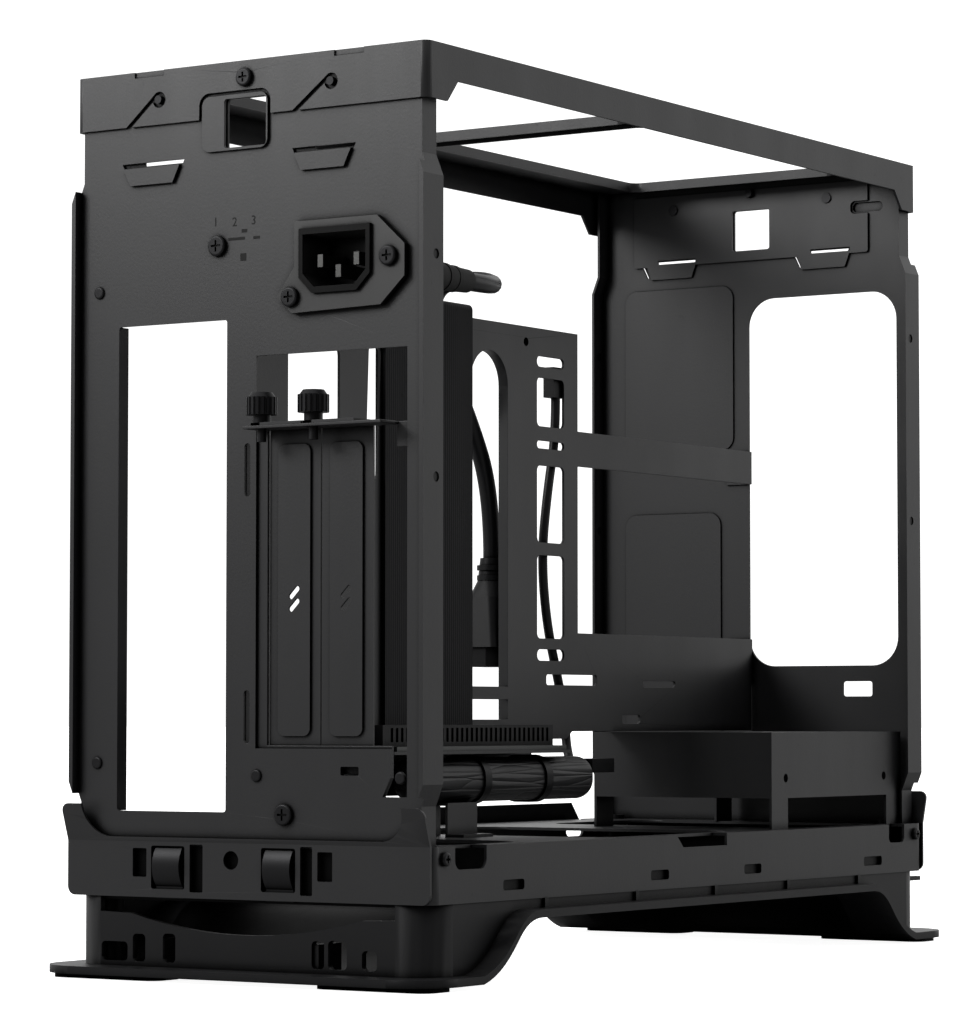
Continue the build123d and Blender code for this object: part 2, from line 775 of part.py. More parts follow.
def base_moulding():
    """Moulded base: two hollow feet joined by side rails, with a lip all round."""
    block = along_x(base_section(moulding_height), -flange_width / 2, flange_width)
    plan = along_z(window(both(flange_width), both(flange_length), flange_corner), 0, moulding_height)
    block = block & plan
    lip = block - Pos(0, 0, lip_thickness) * block
    wall_width = tray_width - 2 * moulding_inset
    wall_length = tray_length - 2 * moulding_inset
    walls = block & along_z(base_ring(wall_width, wall_length, moulding_wall), 0, moulding_height)
    middle = window(both(tray_width - 2 * rail_depth), both(tray_length - 2 * foot_length), 2 * tray_corner)
    base = lip - along_z(middle, -overrun, moulding_height + 2 * overrun) + walls
    end_y = wall_length / 2
    cuts = end_dip()
    notch_low = pad_height + lip_thickness + end_notch_corner
    for x0, x1, high in end_notches:
        cuts += window((x0, x1), (notch_low, high), end_notch_corner)
    base -= at_both_ends(along_y(cuts, end_y + overrun, moulding_wall + 2 * overrun))
    base += base_rim()
    floor = pad_height + lip_thickness / 2
    web_z = (floor, moulding_height - dip_depth - 2 * dip_sag)
    for x in web_x:
        base += at_both_ends(slab((x, x + web_thickness), (end_y - web_length, end_y - overrun), web_z))
    for x, y in base_screw_places():
        base += along_z(disc(screw_boss_r, x, y), floor, deck_z - sheet - floor)
        base -= along_z(disc(screw_boss_bore_r, x, y), floor + lip_thickness, deck_z)
    rib_width, rib_stand = side_rib
    rib_z = (pad_height + arch_rise + lip_thickness / 2, moulding_height)
    for y in side_ribs_y:
        for x in (-wall_width / 2, wall_width / 2):
            base += slab((x - rib_stand, x + rib_stand), (y, y + rib_width), rib_z)
    x0, x1, reach, z0, z1 = front_catch
    return base + slab((x0, x1), (-end_y - reach, moulding_corner / 2 - end_y), (z0, z1))


def base_ring(width, length, wall):
    """Plan of an upright wall round the base, with its large round corners."""
    core = window(both(width - 2 * wall), both(length - 2 * wall), moulding_corner - wall)
    return window(both(width), both(length), moulding_corner) - core


def base_rim():
    """Rim that rises inside the tray's walls, higher behind the clips at both ends."""
    width = tray_width - 2 * (sheet + fit_gap)
    length = tray_length - 2 * (sheet + clip_sheet + fit_gap)
    low = moulding_height - rim_root
    rim = along_z(base_ring(width, length, rim_thickness), low, rim_top_z - low)
    end_y = (length / 2 - rim_thickness, length / 2)
    end_z = (low, deck_z - sheet - fit_gap)
    return rim + at_both_ends(slab(end_rim_x, end_y, end_z))


def foot_pads():
    """Rubber pads under the two feet, one near each corner."""
    pads = []
    reach_x = flange_width / 2 - pad_inset[0]
    reach_y = flange_length / 2 - pad_inset[1]
    for x in (-1, 1):
        for y in (-1, 1):
            span_x = sorted((x * (reach_x - pad_length), x * reach_x))
            span_y = sorted((y * (reach_y - pad_width), y * reach_y))
            pads.append(along_z(window(span_x, span_y, pad_corner), 0, pad_height))
    return Compound(children=pads)


def spine_outline():
    """Spine sheet: tall rear field, front bar, two arms and a lower panel."""
    front = spine_front_y
    bar = spine_front_bar
    rear = inner_y - sheet
    cage_top = cage_z[1] + cage_gap
    points = [(rear, spine_leg_z), (rear, spine_top_z), (bar, spine_top_z), (bar, upper_arm_z[1]),
              (front, upper_arm_z[1]), (front, upper_arm_z[0]), (bar, upper_arm_z[0]),
              (bar, lower_arm_top_z), (front, lower_arm_top_z), (front, cage_top),
              (bar + spine_sill_slant, cage_top),
              (bar + 2 * spine_sill_slant, spine_sill_z), (spine_leg_front, spine_sill_z),
              (spine_leg_front, spine_leg_z)]
    return outline(points)


def spine():
    """Upright sheet between the chambers, with windows, bends and fixing tabs."""
    arch_r = (arch_window[1] - arch_window[0]) / 2
    arch_mid = (arch_window[0] + arch_window[1]) / 2
    spring_z = arch_window_z[1] - arch_r
    arch = window(arch_window, (arch_window_z[0], spring_z)) + disc(arch_r, arch_mid, spring_z)
    cuts = arch - window(arch_window, arch_bar_z)
    cuts += window(spine_rear_window, spine_window_z, 5 * sheet)
    slit_y = (spine_slit_window[0] + spine_slit_window[1]) / 2
    slit_z = (spine_slit_z[0] + spine_slit_z[1]) / 2
    slit = RectangleRounded(spine_slit_window[1] - spine_slit_window[0], spine_slit_z[1] - spine_slit_z[0],
                            2 * sheet)
    cuts += Pos(slit_y, slit_z) * Rot(0, 0, spine_slit_lean) * slit
    for span in cable_slot_z:
        cuts += window(cable_slot_y, span, 2 * sheet)
    for y0, y1, z0, z1 in lower_slits:
        cuts += window((y0, y1), (z0, z1), sheet)
    for y, z in board_holes:
        cuts += disc(standoff_bore_r + fit_gap, y, z)
    plate = along_x(spine_outline() - cuts, spine_x, sheet)
    rim = along_x(offset(arch, sheet) - arch, spine_x, sheet + arch_lip)
    rim_y = (arch_window[0] - 2 * sheet, arch_window[1] + 2 * sheet)
    plate += rim - slab((0, spine_face + 2 * arch_lip), rim_y, (0, arch_window_z[0]))
    rear_y = (inner_y - sheet, inner_y)
    front_y = (-inner_y, sheet - inner_y)
    port_edge = board_x - fit_gap
    plate += slab((spine_x, port_edge), rear_y, (spine_foot_z, lock_tab_z[1]))
    plate += slab((spine_x, lock_tab_x), rear_y, lock_tab_z)
    low_tab_top = slot_step_z - bracket_sill - fit_gap
    plate += slab((low_lock_screw[0] - spine_tab / 2, spine_x), rear_y, (spine_foot_z, low_tab_top))
    plate += slab((spine_x, spine_face + spine_tab), front_y, upper_arm_z)
    plate += slab((spine_x, spine_face + spine_tab), front_y, (spine_front_tab_z, lower_arm_top_z))
    for x, z in (lock_screw, low_lock_screw):
        plate -= along_y(disc(screw_hole_r, x, z), inner_y + overrun, sheet + 2 * overrun)
    for x, z in (front_lock_screw, front_low_lock_screw):
        plate -= along_y(disc(screw_hole_r, x, z), sheet - inner_y + overrun, sheet + 2 * overrun)
    return plate


def board_standoffs():
    """Threaded standoffs for the four corners of the board."""
    posts = []
    for y, z in board_holes:
        ring = RegularPolygon(standoff_r, 6, major_radius=False) - Circle(standoff_bore_r)
        posts.append(Pos(spine_face, y, z) * extrude(Plane.YZ * ring, board_gap))
    return Compound(children=posts)


def slot_bracket():
    """Frame behind the slot opening, with the shelf that takes the cover screws."""
    outer_x = (slot_open_x[0] - bracket_margin, slot_open_x[1] + bracket_margin - sheet)
    top = shelf_z - fit_gap
    frame = window(outer_x, (slot_step_z - bracket_sill, top))
    frame -= window((slot_open_x[0], slot_open_x[1] - bracket_sill), (slot_open_z[0] + sheet, top + overrun))
    side_top = slot_open_z[0] + 2 * sheet
    frame -= outline([(slot_open_x[0], slot_step_z), (slot_open_x[0], side_top), (slot_step_x, side_top),
                      (slot_step_x, slot_step_z + slot_step_cut[1]),
                      (slot_step_x + slot_step_cut[0], slot_step_z)])
    frame -= window(tab_hole_x, tab_hole_z, sheet / 2)
    plate = along_y(frame, inner_y, sheet)
    shelf_x = (slot_open_x[0] + bracket_sill, slot_open_x[1] - sheet)
    shelf = slab(shelf_x, (inner_y - sheet, panel_y + shelf_reach), (top - sheet, top))
    for index in range(2):
        x = cover_first_x - index * cover_pitch + thumb_offset_x
        shelf -= along_z(disc(screw_hole_r, x, thumb_y), top - 2 * sheet, 3 * sheet)
    guard_x = (slot_open_x[0] - sheet, slot_open_x[0] - sheet + guard_plate[0])
    return plate + shelf + slab(guard_x, (inner_y - sheet, inner_y), (top - guard_plate[1], top))


def slot_cover(index):
    """Blank cover for one slot: pressed field, vent holes, tongue and screw tab."""
    mid = cover_first_x - index * cover_pitch
    half = cover_width / 2
    across = (mid - half, mid + half)
    face_y = inner_y - sheet
    tip_z = cover_bottom_z - tongue_drop
    tongue = outline([(across[0], cover_bottom_z), (across[1], cover_bottom_z),
                      (mid + cover_tongue / 2, tip_z), (mid - cover_tongue / 2, tip_z)])
    cover = along_y(window(across, (cover_bottom_z, shelf_z)) + tongue, face_y, cover_thickness)
    field_half = cover_panel_width / 2
    field = window((mid - field_half, mid + field_half), cover_panel_z, cover_panel_corner)
    cover += along_y(field, face_y + cover_press, cover_press)
    hollow_half = field_half - cover_field_rim
    hollow = window((mid - hollow_half, mid + hollow_half),
                    (cover_panel_z[0] + cover_field_rim, cover_panel_z[1] - cover_field_rim),
                    cover_panel_corner - cover_field_rim)
    cover -= along_y(hollow, face_y, cover_thickness)
    cover += along_y(window(across, (shelf_z - cover_head, shelf_z)), face_y, cover_thickness)
    for z in vent_slot_z:
        hole = Pos(mid, z) * Rot(0, 0, vent_slot_lean) * SlotOverall(*vent_slot)
        cover -= along_y(hole, panel_y, panel_y - face_y + 2 * cover_thickness)
    reach = panel_y + shelf_reach
    seat = shelf_z - fit_gap
    tab = slab(across, (face_y - cover_thickness, reach), (seat, seat + cover_thickness))
    notch_x = mid + thumb_offset_x
    notch = window((notch_x - screw_hole_r, notch_x + screw_hole_r), (thumb_y, reach + overrun))
    notch += disc(screw_hole_r, notch_x, thumb_y)
    return cover + tab - along_z(notch, seat - overrun, cover_thickness + 2 * overrun)


def slot_thumbscrews():
    """Knurled thumbscrews on the cover tabs."""
    screws = []
    base = shelf_z - fit_gap + cover_thickness
    head = Circle(thumb_head_r)
    for flute in range(thumb_flutes):
        head -= Rot(0, 0, 360.0 * flute / thumb_flutes) * Pos(thumb_head_r, 0) * Circle(thumb_flute_r)
    low_r, high_r, crown = thumb_crown
    crown_z = thumb_collar + thumb_head_height
    head_top = crown_z + crown
    slot_length, slot_width, slot_depth = thumb_slot
    screw = along_z(Circle(thumb_collar_r), 0, thumb_collar)
    screw += along_z(head, thumb_collar, thumb_head_height)
    screw += Pos(0, 0, crown_z) * Cone(low_r, high_r, crown, align=(Align.CENTER, Align.CENTER, Align.MIN))
    screw += along_z(Circle(thumb_shank_r), -thumb_shank, thumb_shank)
    screw -= slab(both(slot_length), both(slot_width), (head_top - slot_depth, head_top + overrun))
    for index in range(2):
        x = cover_first_x - index * cover_pitch + thumb_offset_x
        screws.append(Pos(x, thumb_y, base) * screw)
    return Compound(children=screws)


def inlet_face(size, cut):
    """Inlet outline in X and Z: a rectangle with its two lower corners cut."""
    left = inlet_x - size[0] / 2
    right = inlet_x + size[0] / 2
    low = inlet_z - size[1] / 2
    high = inlet_z + size[1] / 2
    return outline([(left, high), (right, high), (right, low + cut), (right - cut, low), (left + cut, low),
                    (left, low + cut)])


def inlet_housing():
    """Mains inlet: flange on the panel, body through it and a moulded back."""
    flange_y = panel_y + inlet_flange
    mouth_y = flange_y + inlet_stand
    flange = along_y(outline(flange_outline), flange_y, inlet_flange)
    body = along_y(inlet_face(inlet_body, inlet_chamfer), mouth_y, inlet_depth)
    wall = (inlet_body[0] - inlet_cavity[0]) / 2
    cavity = along_y(inlet_face(inlet_cavity, inlet_chamfer - wall / 2), mouth_y, inlet_cavity_depth)
    housing = flange + body - cavity
    for x, z in inlet_screws:
        housing -= along_y(disc(inlet_screw_r, x, z), flange_y + overrun, inlet_flange + 2 * overrun)
    back_y = mouth_y - inlet_depth
    middle = Pos(inlet_x, inlet_z)
    root = middle * RectangleRounded(inlet_body[0] - wall, inlet_body[1] - wall, 2.5 * wall)
    tip = middle * RectangleRounded(*inlet_back_end, 3 * wall)
    back = loft([Plane.XZ.offset(-back_y) * root, Plane.XZ.offset(inlet_back_length - back_y) * tip])
    return housing + back


def inlet_pins():
    """Three flat contact pins inside the inlet."""
    back = panel_y + inlet_flange + inlet_stand - inlet_cavity_depth
    pins = []
    for x, z in ((-pin_pitch / 2, 0.0), (0.0, -earth_drop), (pin_pitch / 2, 0.0)):
        blade = slab(both(pin_size[0]), (0, pin_length), both(pin_size[1]))
        pins.append(Pos(inlet_x + x, back, inlet_z + z) * blade)
    return Compound(children=pins)


def pan_screw(x, z, seat_y, length, head_r, shank_r):
    """Pan-head screw with a cross recess, its head against seat_y facing +Y."""
    head = along_z(Circle(head_r), 0, pan_head_height)
    head = fillet(head.edges().filter_by(GeomType.CIRCLE).sort_by(Axis.Z)[-1:], pan_head_round)
    recess = Box(head_r * cross_share, cross_width, pan_head_height)
    recess += Box(cross_width, head_r * cross_share, pan_head_height)
    screw = head - Pos(0, 0, pan_head_height) * recess
    screw += along_z(Circle(shank_r), -length, length)
    return Pos(x, seat_y, z) * Rot(-90, 0, 0) * screw


def inlet_screws_pair():
    """Screws that hold the inlet's flange."""
    seat = panel_y + inlet_flange
    screws = [pan_screw(x, z, seat, inlet_screw_length, inlet_screw_head_r, inlet_screw_r - screw_play)
              for x, z in inlet_screws]
    return Compound(children=screws)


def inlet_boot():
    """Ribbed strain relief between the inlet's back and the lead."""
    start_y = panel_y + inlet_flange + inlet_stand - inlet_depth - inlet_back_length
    length = start_y - boot_tip_y
    core = Cone(boot_r - boot_rib_rise, boot_tip_r, length, align=(Align.CENTER, Align.CENTER, Align.MIN))
    pitch = length / (boot_rib_count + 1)
    for rib in range(boot_rib_count):
        rise = boot_rib_width + rib * pitch
        radius = boot_r - (boot_r - boot_tip_r) * rise / length
        core += along_z(Circle(radius), rise, boot_rib_width)
    return Pos(inlet_x, start_y, inlet_z) * Rot(90, 0, 0) * core


def swept_cord(route, diameter, radii):
    """Round tube along straight runs joined by arcs."""
    path = FilletPolyline(*route, radius=radii)
    start = path @ 0
    heading = path % 0
    section = Plane(origin=start, z_dir=heading) * Circle(diameter / 2)
    return sweep(section, path=path), path.length


def corner_radii(route):
    """Each corner's arc: as large as its two runs allow."""
    radii = []
    for before, here, after in zip(route, route[1:], route[2:]):
        first = Vector(*here) - Vector(*before)
        second = Vector(*after) - Vector(*here)
        turn = first.get_angle(second)
        radii.append(0.45 * min(first.length, second.length) / tan(radians(turn / 2)))
    return radii


def mains_lead():
    """Lead from the inlet, over the spine and down behind it to the plug."""
    radii = corner_radii(lead_route)
    tube, length = swept_cord(lead_route, lead_diameter, radii)
    section = pi * (lead_diameter / 2) ** 2
    volumes = round(tube.volume), round(section * length)
    print("mains lead: length", round(length, 1), "volume and section x length", volumes)
    print("mains lead radii:", [round(r, 1) for r in radii])
    return tube


def mains_plug():
    """Socket plug on the lead's end, hanging behind the spine."""
    low = plug_top_z - plug_height
    grip_z = low + plug_nose_height - 2 * overrun
    neck_z = plug_top_z - plug_shoulder
    nose = slab(both(plug_nose[0]), both(plug_nose[1]), (low, low + plug_nose_height))
    nose = chamfer(nose.edges().filter_by(Axis.Z).group_by(Axis.X)[0], plug_nose_cut)
    waist = RectangleRounded(*plug_waist, plug_nose_cut)
    base = RectangleRounded(*plug_size, plug_nose_cut - 1)
    grip = loft([Pos(0, 0, grip_z) * base, Pos(0, 0, neck_z) * waist])
    shoulder = loft([Pos(0, 0, neck_z) * waist, Pos(0, 0, plug_top_z) * Circle(plug_neck_r)])
    neck = Cone(plug_neck_r, lead_diameter / 2 + overrun, plug_neck_height,
                align=(Align.CENTER, Align.CENTER, Align.MIN))
    plug = nose + grip + shoulder + Pos(0, 0, plug_top_z) * neck
    rib = Circle(plug_neck_r + boot_rib_rise / 2)
    for index in range(2):
        plug += along_z(rib, plug_top_z + 2 * index * boot_rib_width, boot_rib_width)
    hole_x, hole_y, hole_depth = plug_contact_hole
    for x, y in plug_contacts:
        plug -= Pos(x, y, low) * Box(hole_x, hole_y, 2 * hole_depth)
    return Pos(plug_x, plug_y, 0) * plug


def extender_bracket():
    """Angle on the spine that carries the card extender's socket board."""
    along = (socket_y[0] - sheet, socket_y[1] + 3 * sheet)
    shelf = slab((bracket_shelf_x, spine_x), along, (bracket_shelf_z - sheet, bracket_shelf_z))
    leg = slab((spine_x - sheet, spine_x), along, (bracket_shelf_z - sheet, bracket_flange_top))
    return shelf + leg - slab((spine_x - 2 * sheet, spine_x + overrun), ribbon_y,
                              (bracket_shelf_z, bracket_flange_top + overrun))


def extender_socket_board():
    """Small board under the extender's socket."""
    return slab((bracket_shelf_x + sheet, spine_x - sheet - fit_gap), socket_y,
                (bracket_shelf_z, bracket_shelf_z + extender_board))


def extender_socket():
    """Long ribbed card socket with its slot open at the top."""
    low = bracket_shelf_z + extender_board
    top = low + socket_height
    half = socket_width / 2
    socket = slab((socket_x - half, socket_x + half), socket_y, (low, top))
    ends = socket_rib_pitch
    ribs = int((socket_y[1] - socket_y[0] - 2 * ends) / socket_rib_pitch)
    for index in range(ribs):
        y = socket_y[0] + ends + index * socket_rib_pitch
        for x in (socket_x - half, socket_x + half):
            groove_x = (x - socket_rib_depth, x + socket_rib_depth)
            socket -= slab(groove_x, (y, y + socket_rib_pitch / 2), (low + socket_floor, top - sheet))
    key = socket_y[1] - socket_key
    slot_x = (socket_x - socket_slot_width / 2, socket_x + socket_slot_width / 2)
    for span in ((socket_y[0] + ends, key - sheet), (key + sheet, socket_y[1] - ends)):
        socket -= slab(slot_x, span, (low + socket_floor, top + overrun))
    return socket


def extender_ribbon():
    """Flat ribbon from the socket board up the spine, over it and down."""
    near_x = spine_x - ribbon_clear - ribbon_thickness / 2
    far_x = spine_face + ribbon_clear + ribbon_thickness / 2
    crest = ribbon_crest_z - ribbon_thickness / 2
    bend = (far_x - near_x) / 2
    foot = bracket_shelf_z + extender_board
    path = Line((near_x, foot), (near_x, crest - bend))
    path += ThreePointArc((near_x, crest - bend), ((near_x + far_x) / 2, crest), (far_x, crest - bend))
    path += Line((far_x, crest - bend), (far_x, ribbon_drop_z))
    band = trace(path, ribbon_thickness)
    return along_y(band, ribbon_y[1], ribbon_y[1] - ribbon_y[0])


def extender_edge_plug():
    """Edge board on the ribbon's far end, which fits the main board's slot."""
    near_x = spine_face + ribbon_clear
    low = ribbon_drop_z - edge_board_height
    board = slab((near_x, near_x + extender_board), edge_board_y, (low, ribbon_drop_z))
    clamp_z = (ribbon_drop_z - edge_clamp_height, ribbon_drop_z)
    clamp = slab((near_x, near_x + edge_clamp_reach), ribbon_y, clamp_z)
    key_y = (edge_board_y[0] + edge_key[0], edge_board_y[0] + edge_key[1])
    notch_x = (near_x - overrun, near_x + extender_board + overrun)
    return board + clamp - slab(notch_x, key_y, (low - overrun, low + edge_key[2]))


def drive_cage():
    """Folded cage for small drives, open at the front, on four short legs."""
    inside_x = (cage_x[0] + sheet, cage_x[1] - sheet)
    cage = slab(cage_x, cage_y, cage_z)
    cage -= slab(inside_x, (cage_y[0] - overrun, cage_y[1] - sheet), (cage_z[0] + sheet, cage_z[1] - sheet))
    width, front_margin, rear_margin, corner = cage_window
    mid_x = (cage_x[0] + cage_x[1]) / 2
    hole_y = (cage_y[0] + front_margin, cage_y[1] - rear_margin)
    hole = window((mid_x - width / 2, mid_x + width / 2), hole_y, corner)
    cage -= along_z(hole, cage_z[0] - overrun, sheet + 2 * overrun)
    across = cage_x[1] - cage_x[0] + 2 * overrun
    for y in cage_hole_y:
        cage -= along_x(disc(cage_hole_r, y, cage_hole_z), cage_x[0] - overrun, across)
    leg_z = (deck_z, cage_z[0] + sheet)
    for x in (cage_x[0], cage_x[1] - sheet):
        cage += slab((x, x + sheet), (cage_y[1] - cage_foot, cage_y[1]), leg_z)
        cage += slab((x, x + sheet), (cage_y[0], cage_y[0] + cage_foot), leg_z)
    return cage


def cable_hank():
    """Folded front cables, drawn together into one bundle."""
    section = RectangleRounded(hank_width, hank_height, hank_corner)
    body = Pos(hank_x, hank_y[1], hank_z) * Rot(90, 0, 0) * extrude(section, hank_y[1] - hank_y[0])
    return fillet(body.edges().group_by(Axis.Y)[0] + body.edges().group_by(Axis.Y)[-1], hank_end_r)


def hank_ties():
    """Straps round the bundle."""
    inner = RectangleRounded(hank_width, hank_height, hank_corner)
    strap = offset(inner, hank_tie_sheet) - inner
    ties = []
    for y in hank_tie_y:
        place = Pos(hank_x, y + hank_tie_width, hank_z) * Rot(90, 0, 0)
        ties.append(place * extrude(strap, hank_tie_width))
    return Compound(children=ties)


def cable_saddle():
    """Saddle on the deck that carries the bundle."""
    top = hank_z - hank_height / 2
    left = hank_x - saddle_width / 2
    right = hank_x + saddle_width / 2
    body = slab((left, right), saddle_y, (top - sheet, top))
    body += slab((left, left + sheet), saddle_y, (deck_z, top))
    body += slab((right - sheet, right), saddle_y, (deck_z, top))
    body += slab((left - saddle_foot, left + sheet), saddle_y, (deck_z, deck_z + sheet))
    body += slab((right - sheet, right + saddle_foot), saddle_y, (deck_z, deck_z + sheet))
    return body


def front_plug():
    """Header plug on a short tail at the bundle's end."""
    tip_y = hank_y[0]
    z = hank_z + front_plug_lift
    tail = Pos(hank_x, tip_y, z) * Rot(90, 0, 0) * along_z(Circle(front_stub_r), 0, front_stub + overrun)
    half_x = front_plug_size[0] / 2
    half_z = front_plug_size[1] / 2
    body_y = (tip_y - front_stub - front_plug_length, tip_y - front_stub)
    return tail + slab((hank_x - half_x, hank_x + half_x), body_y, (z - half_z, z + half_z))


def shell_clips():
    """Bowed spring clips in the tray's end walls, which grip the outer shell."""
    clips = []
    low, high = clip_z
    bow = Line((0, low - clip_tail), (0, low + sheet))
    crest = (clip_bulge, (low + high) / 2 + clip_tail)
    bow += ThreePointArc((0, low + sheet), crest, (sheet / 2, high - sheet))
    band = Plane.YZ * trace(bow, clip_sheet)
    for span in clip_x:
        x = span[0] + clip_side_gap
        width = span[1] - span[0] - 2 * clip_side_gap
        clips.append(Pos(x, tray_wall_y - sheet - clip_sheet / 2, 0) * extrude(band, width))
    return Compound(children=clips)


def guide_pins():
    """Pins riveted through the end panels, which the top frame hooks onto."""
    pins = []
    tail, tail_r = pin_tail
    through = sheet + sheet
    blank = along_z(Circle(guide_pin_r), -through, through + pin_stand)
    blank += along_z(Circle(tail_r), -through - tail, tail)
    for foot_x, hole_x in guide_slots:
        pin = Pos(hole_x, panel_y, top_z - guide_drop) * Rot(-90, 0, 0) * blank
        pins.append(pin)
        pins.append(mirror(pin, about=Plane.XZ))
    return Compound(children=pins)


def top_frame_screws():
    """Screws that fix the top frame to the end panels."""
    screw = pan_screw(top_screw_x, top_z - top_screw_drop, frame_length / 2, panel_screw_length,
                      pan_head_r, screw_shank_r)
    return Compound(children=[screw, mirror(screw, about=Plane.XZ)])


def spine_lock_screws():
    """Screws that lock the spine to the end panels at its set position."""
    screws = []
    for x, z in (lock_screw, low_lock_screw):
        screws.append(pan_screw(x, z, panel_y, panel_screw_length, lock_head_r, screw_shank_r))
    for x, z in (front_lock_screw, front_low_lock_screw):
        screw = pan_screw(x, z, panel_y, panel_screw_length, pan_head_r, screw_shank_r)
        screws.append(mirror(screw, about=Plane.XZ))
    return Compound(children=screws)


def panel_rivets():
    """Domed rivets on the rear panel."""
    dome = along_z(Circle(rivet_r), 0, rivet_dome)
    dome = fillet(dome.edges().filter_by(GeomType.CIRCLE).sort_by(Axis.Z)[-1:], rivet_round)
    return Compound(children=[Pos(x, panel_y, z) * Rot(-90, 0, 0) * dome for x, z in rivets_rear])


def side_screws():
    """Screws in the tray's side walls, one near each corner."""
    screws = []
    for x, y, z, side in side_screw_places():
        screw = pan_screw(0, 0, 0, side_screw_length, side_screw_head_r, screw_shank_r)
        screws.append(Pos(x, y, z) * Rot(0, 0, -90 * side) * screw)
    return Compound(children=screws)


def front_io_lead():
    """Thin lead from the bundle, round the spine's sill and up beside its slots."""
    radii = corner_radii(io_lead_route)
    tube, length = swept_cord(io_lead_route, io_lead_diameter, radii)
    section = pi * (io_lead_diameter / 2) ** 2
    print("front lead: length", round(length, 1), "volume", round(tube.volume), round(section * length))
    print("front lead radii:", [round(r, 1) for r in radii])
    return tube


def front_io_plug():
    """Header plug on the thin lead's upper end."""
    size_x, size_y, size_z = io_plug_size
    x, y, z = io_lead_route[0]
    low_x = spine_face + fit_gap
    return slab((low_x, low_x + size_x), (y - size_y / 2, y + size_y / 2), (z, z + size_z))


def base_screws():
    """Screws that hold the tray down on the moulded base."""
    screw = along_z(Circle(pan_head_r), 0, pan_head_height)
    screw += along_z(Circle(screw_boss_bore_r), -base_screw_length, base_screw_length)
    return Compound(children=[Pos(x, y, deck_z) * screw for x, y in base_screw_places()])


nodes = {
    "top_frame": top_frame,
    "rear_panel": rear_panel,
    "front_panel": front_panel,
    "rear_hook_plate": hook_plate,
    "front_hook_plate": front_hook_plate,
    "base_tray": base_tray,
    "base_moulding": base_moulding,
    "foot_pads": foot_pads,
    "spine": spine,
    "board_standoffs": board_standoffs,
    "slot_bracket": slot_bracket,
    "slot_cover_1": lambda: slot_cover(0),
    "slot_cover_2": lambda: slot_cover(1),
    "slot_thumbscrews": slot_thumbscrews,
    "inlet_housing": inlet_housing,
    "inlet_pins": inlet_pins,
    "inlet_screws": inlet_screws_pair,
    "inlet_boot": inlet_boot,
    "mains_lead": mains_lead,
    "mains_plug": mains_plug,
    "extender_bracket": extender_bracket,
    "extender_socket_board": extender_socket_board,
    "extender_socket": extender_socket,
    "extender_ribbon": extender_ribbon,
    "extender_edge_plug": extender_edge_plug,
    "drive_cage": drive_cage,
    "cable_hank": cable_hank,
    "hank_ties": hank_ties,
    "cable_saddle": cable_saddle,
    "front_plug": front_plug,
    "front_io_lead": front_io_lead,
    "front_io_plug": front_io_plug,
    "rear_shell_clips": shell_clips,
    "front_shell_clips": lambda: mirror(shell_clips(), about=Plane.XZ),
    "guide_pins": guide_pins,
    "top_frame_screws": top_frame_screws,
    "spine_lock_screws": spine_lock_screws,
    "panel_rivets": panel_rivets,
    "side_screws": side_screws,
    "base_screws": base_screws,
}

os.makedirs("parts", exist_ok=True)
for name, build in nodes.items():
    export_step(build(), f"parts/{name}.step")
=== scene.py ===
import json
import math

import bmesh
import bpy
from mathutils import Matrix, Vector


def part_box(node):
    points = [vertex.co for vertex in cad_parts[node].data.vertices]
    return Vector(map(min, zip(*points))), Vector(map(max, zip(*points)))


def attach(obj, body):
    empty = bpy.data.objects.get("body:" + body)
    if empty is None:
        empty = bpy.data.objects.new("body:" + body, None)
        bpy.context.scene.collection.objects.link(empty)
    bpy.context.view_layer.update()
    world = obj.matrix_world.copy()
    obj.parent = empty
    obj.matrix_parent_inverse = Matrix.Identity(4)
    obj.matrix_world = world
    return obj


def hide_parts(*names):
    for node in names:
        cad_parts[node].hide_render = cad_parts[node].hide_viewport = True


# A mini-ITX computer case without its outer shell, dressed over its CAD solids.
# Metres. Z is up, the rear panel faces +Y and the card side is at -X.

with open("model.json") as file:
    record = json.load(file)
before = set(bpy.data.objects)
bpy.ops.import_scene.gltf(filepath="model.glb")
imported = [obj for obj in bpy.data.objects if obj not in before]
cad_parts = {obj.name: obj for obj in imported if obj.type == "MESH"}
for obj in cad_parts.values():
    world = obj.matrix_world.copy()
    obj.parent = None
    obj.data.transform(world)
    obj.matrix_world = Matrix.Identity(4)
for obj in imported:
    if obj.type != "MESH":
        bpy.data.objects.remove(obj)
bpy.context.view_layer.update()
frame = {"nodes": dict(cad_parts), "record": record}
nodes = frame["nodes"]
MM = 0.001

# Camera, behind the case and on the card side
CAMERA_PLACE = Vector((-0.74497, 1.16224, 0.08456))
CAMERA_TURN = 0.57957
CAMERA_TILT = 0.05331
CAMERA_LENS = 136.045
CAMERA_CLIP = (0.05, 50.0)

# Mains lead: the route of its solid in millimetres, from the inlet's boot to the hanging plug
LEAD_DIAMETER = 6.2 * MM
LEAD_ROUTE = (
    (-36.3, 94.0, 229.9),
    (-36.3, 73.0, 229.9),
    (-19.0, 59.0, 235.0),
    (4.0, 53.5, 235.5),
    (15.0, 38.0, 220.0),
    (14.6, 17.0, 194.0),
    (14.3, 1.2, 166.0),
    (14.3, 1.2, 142.0),
)

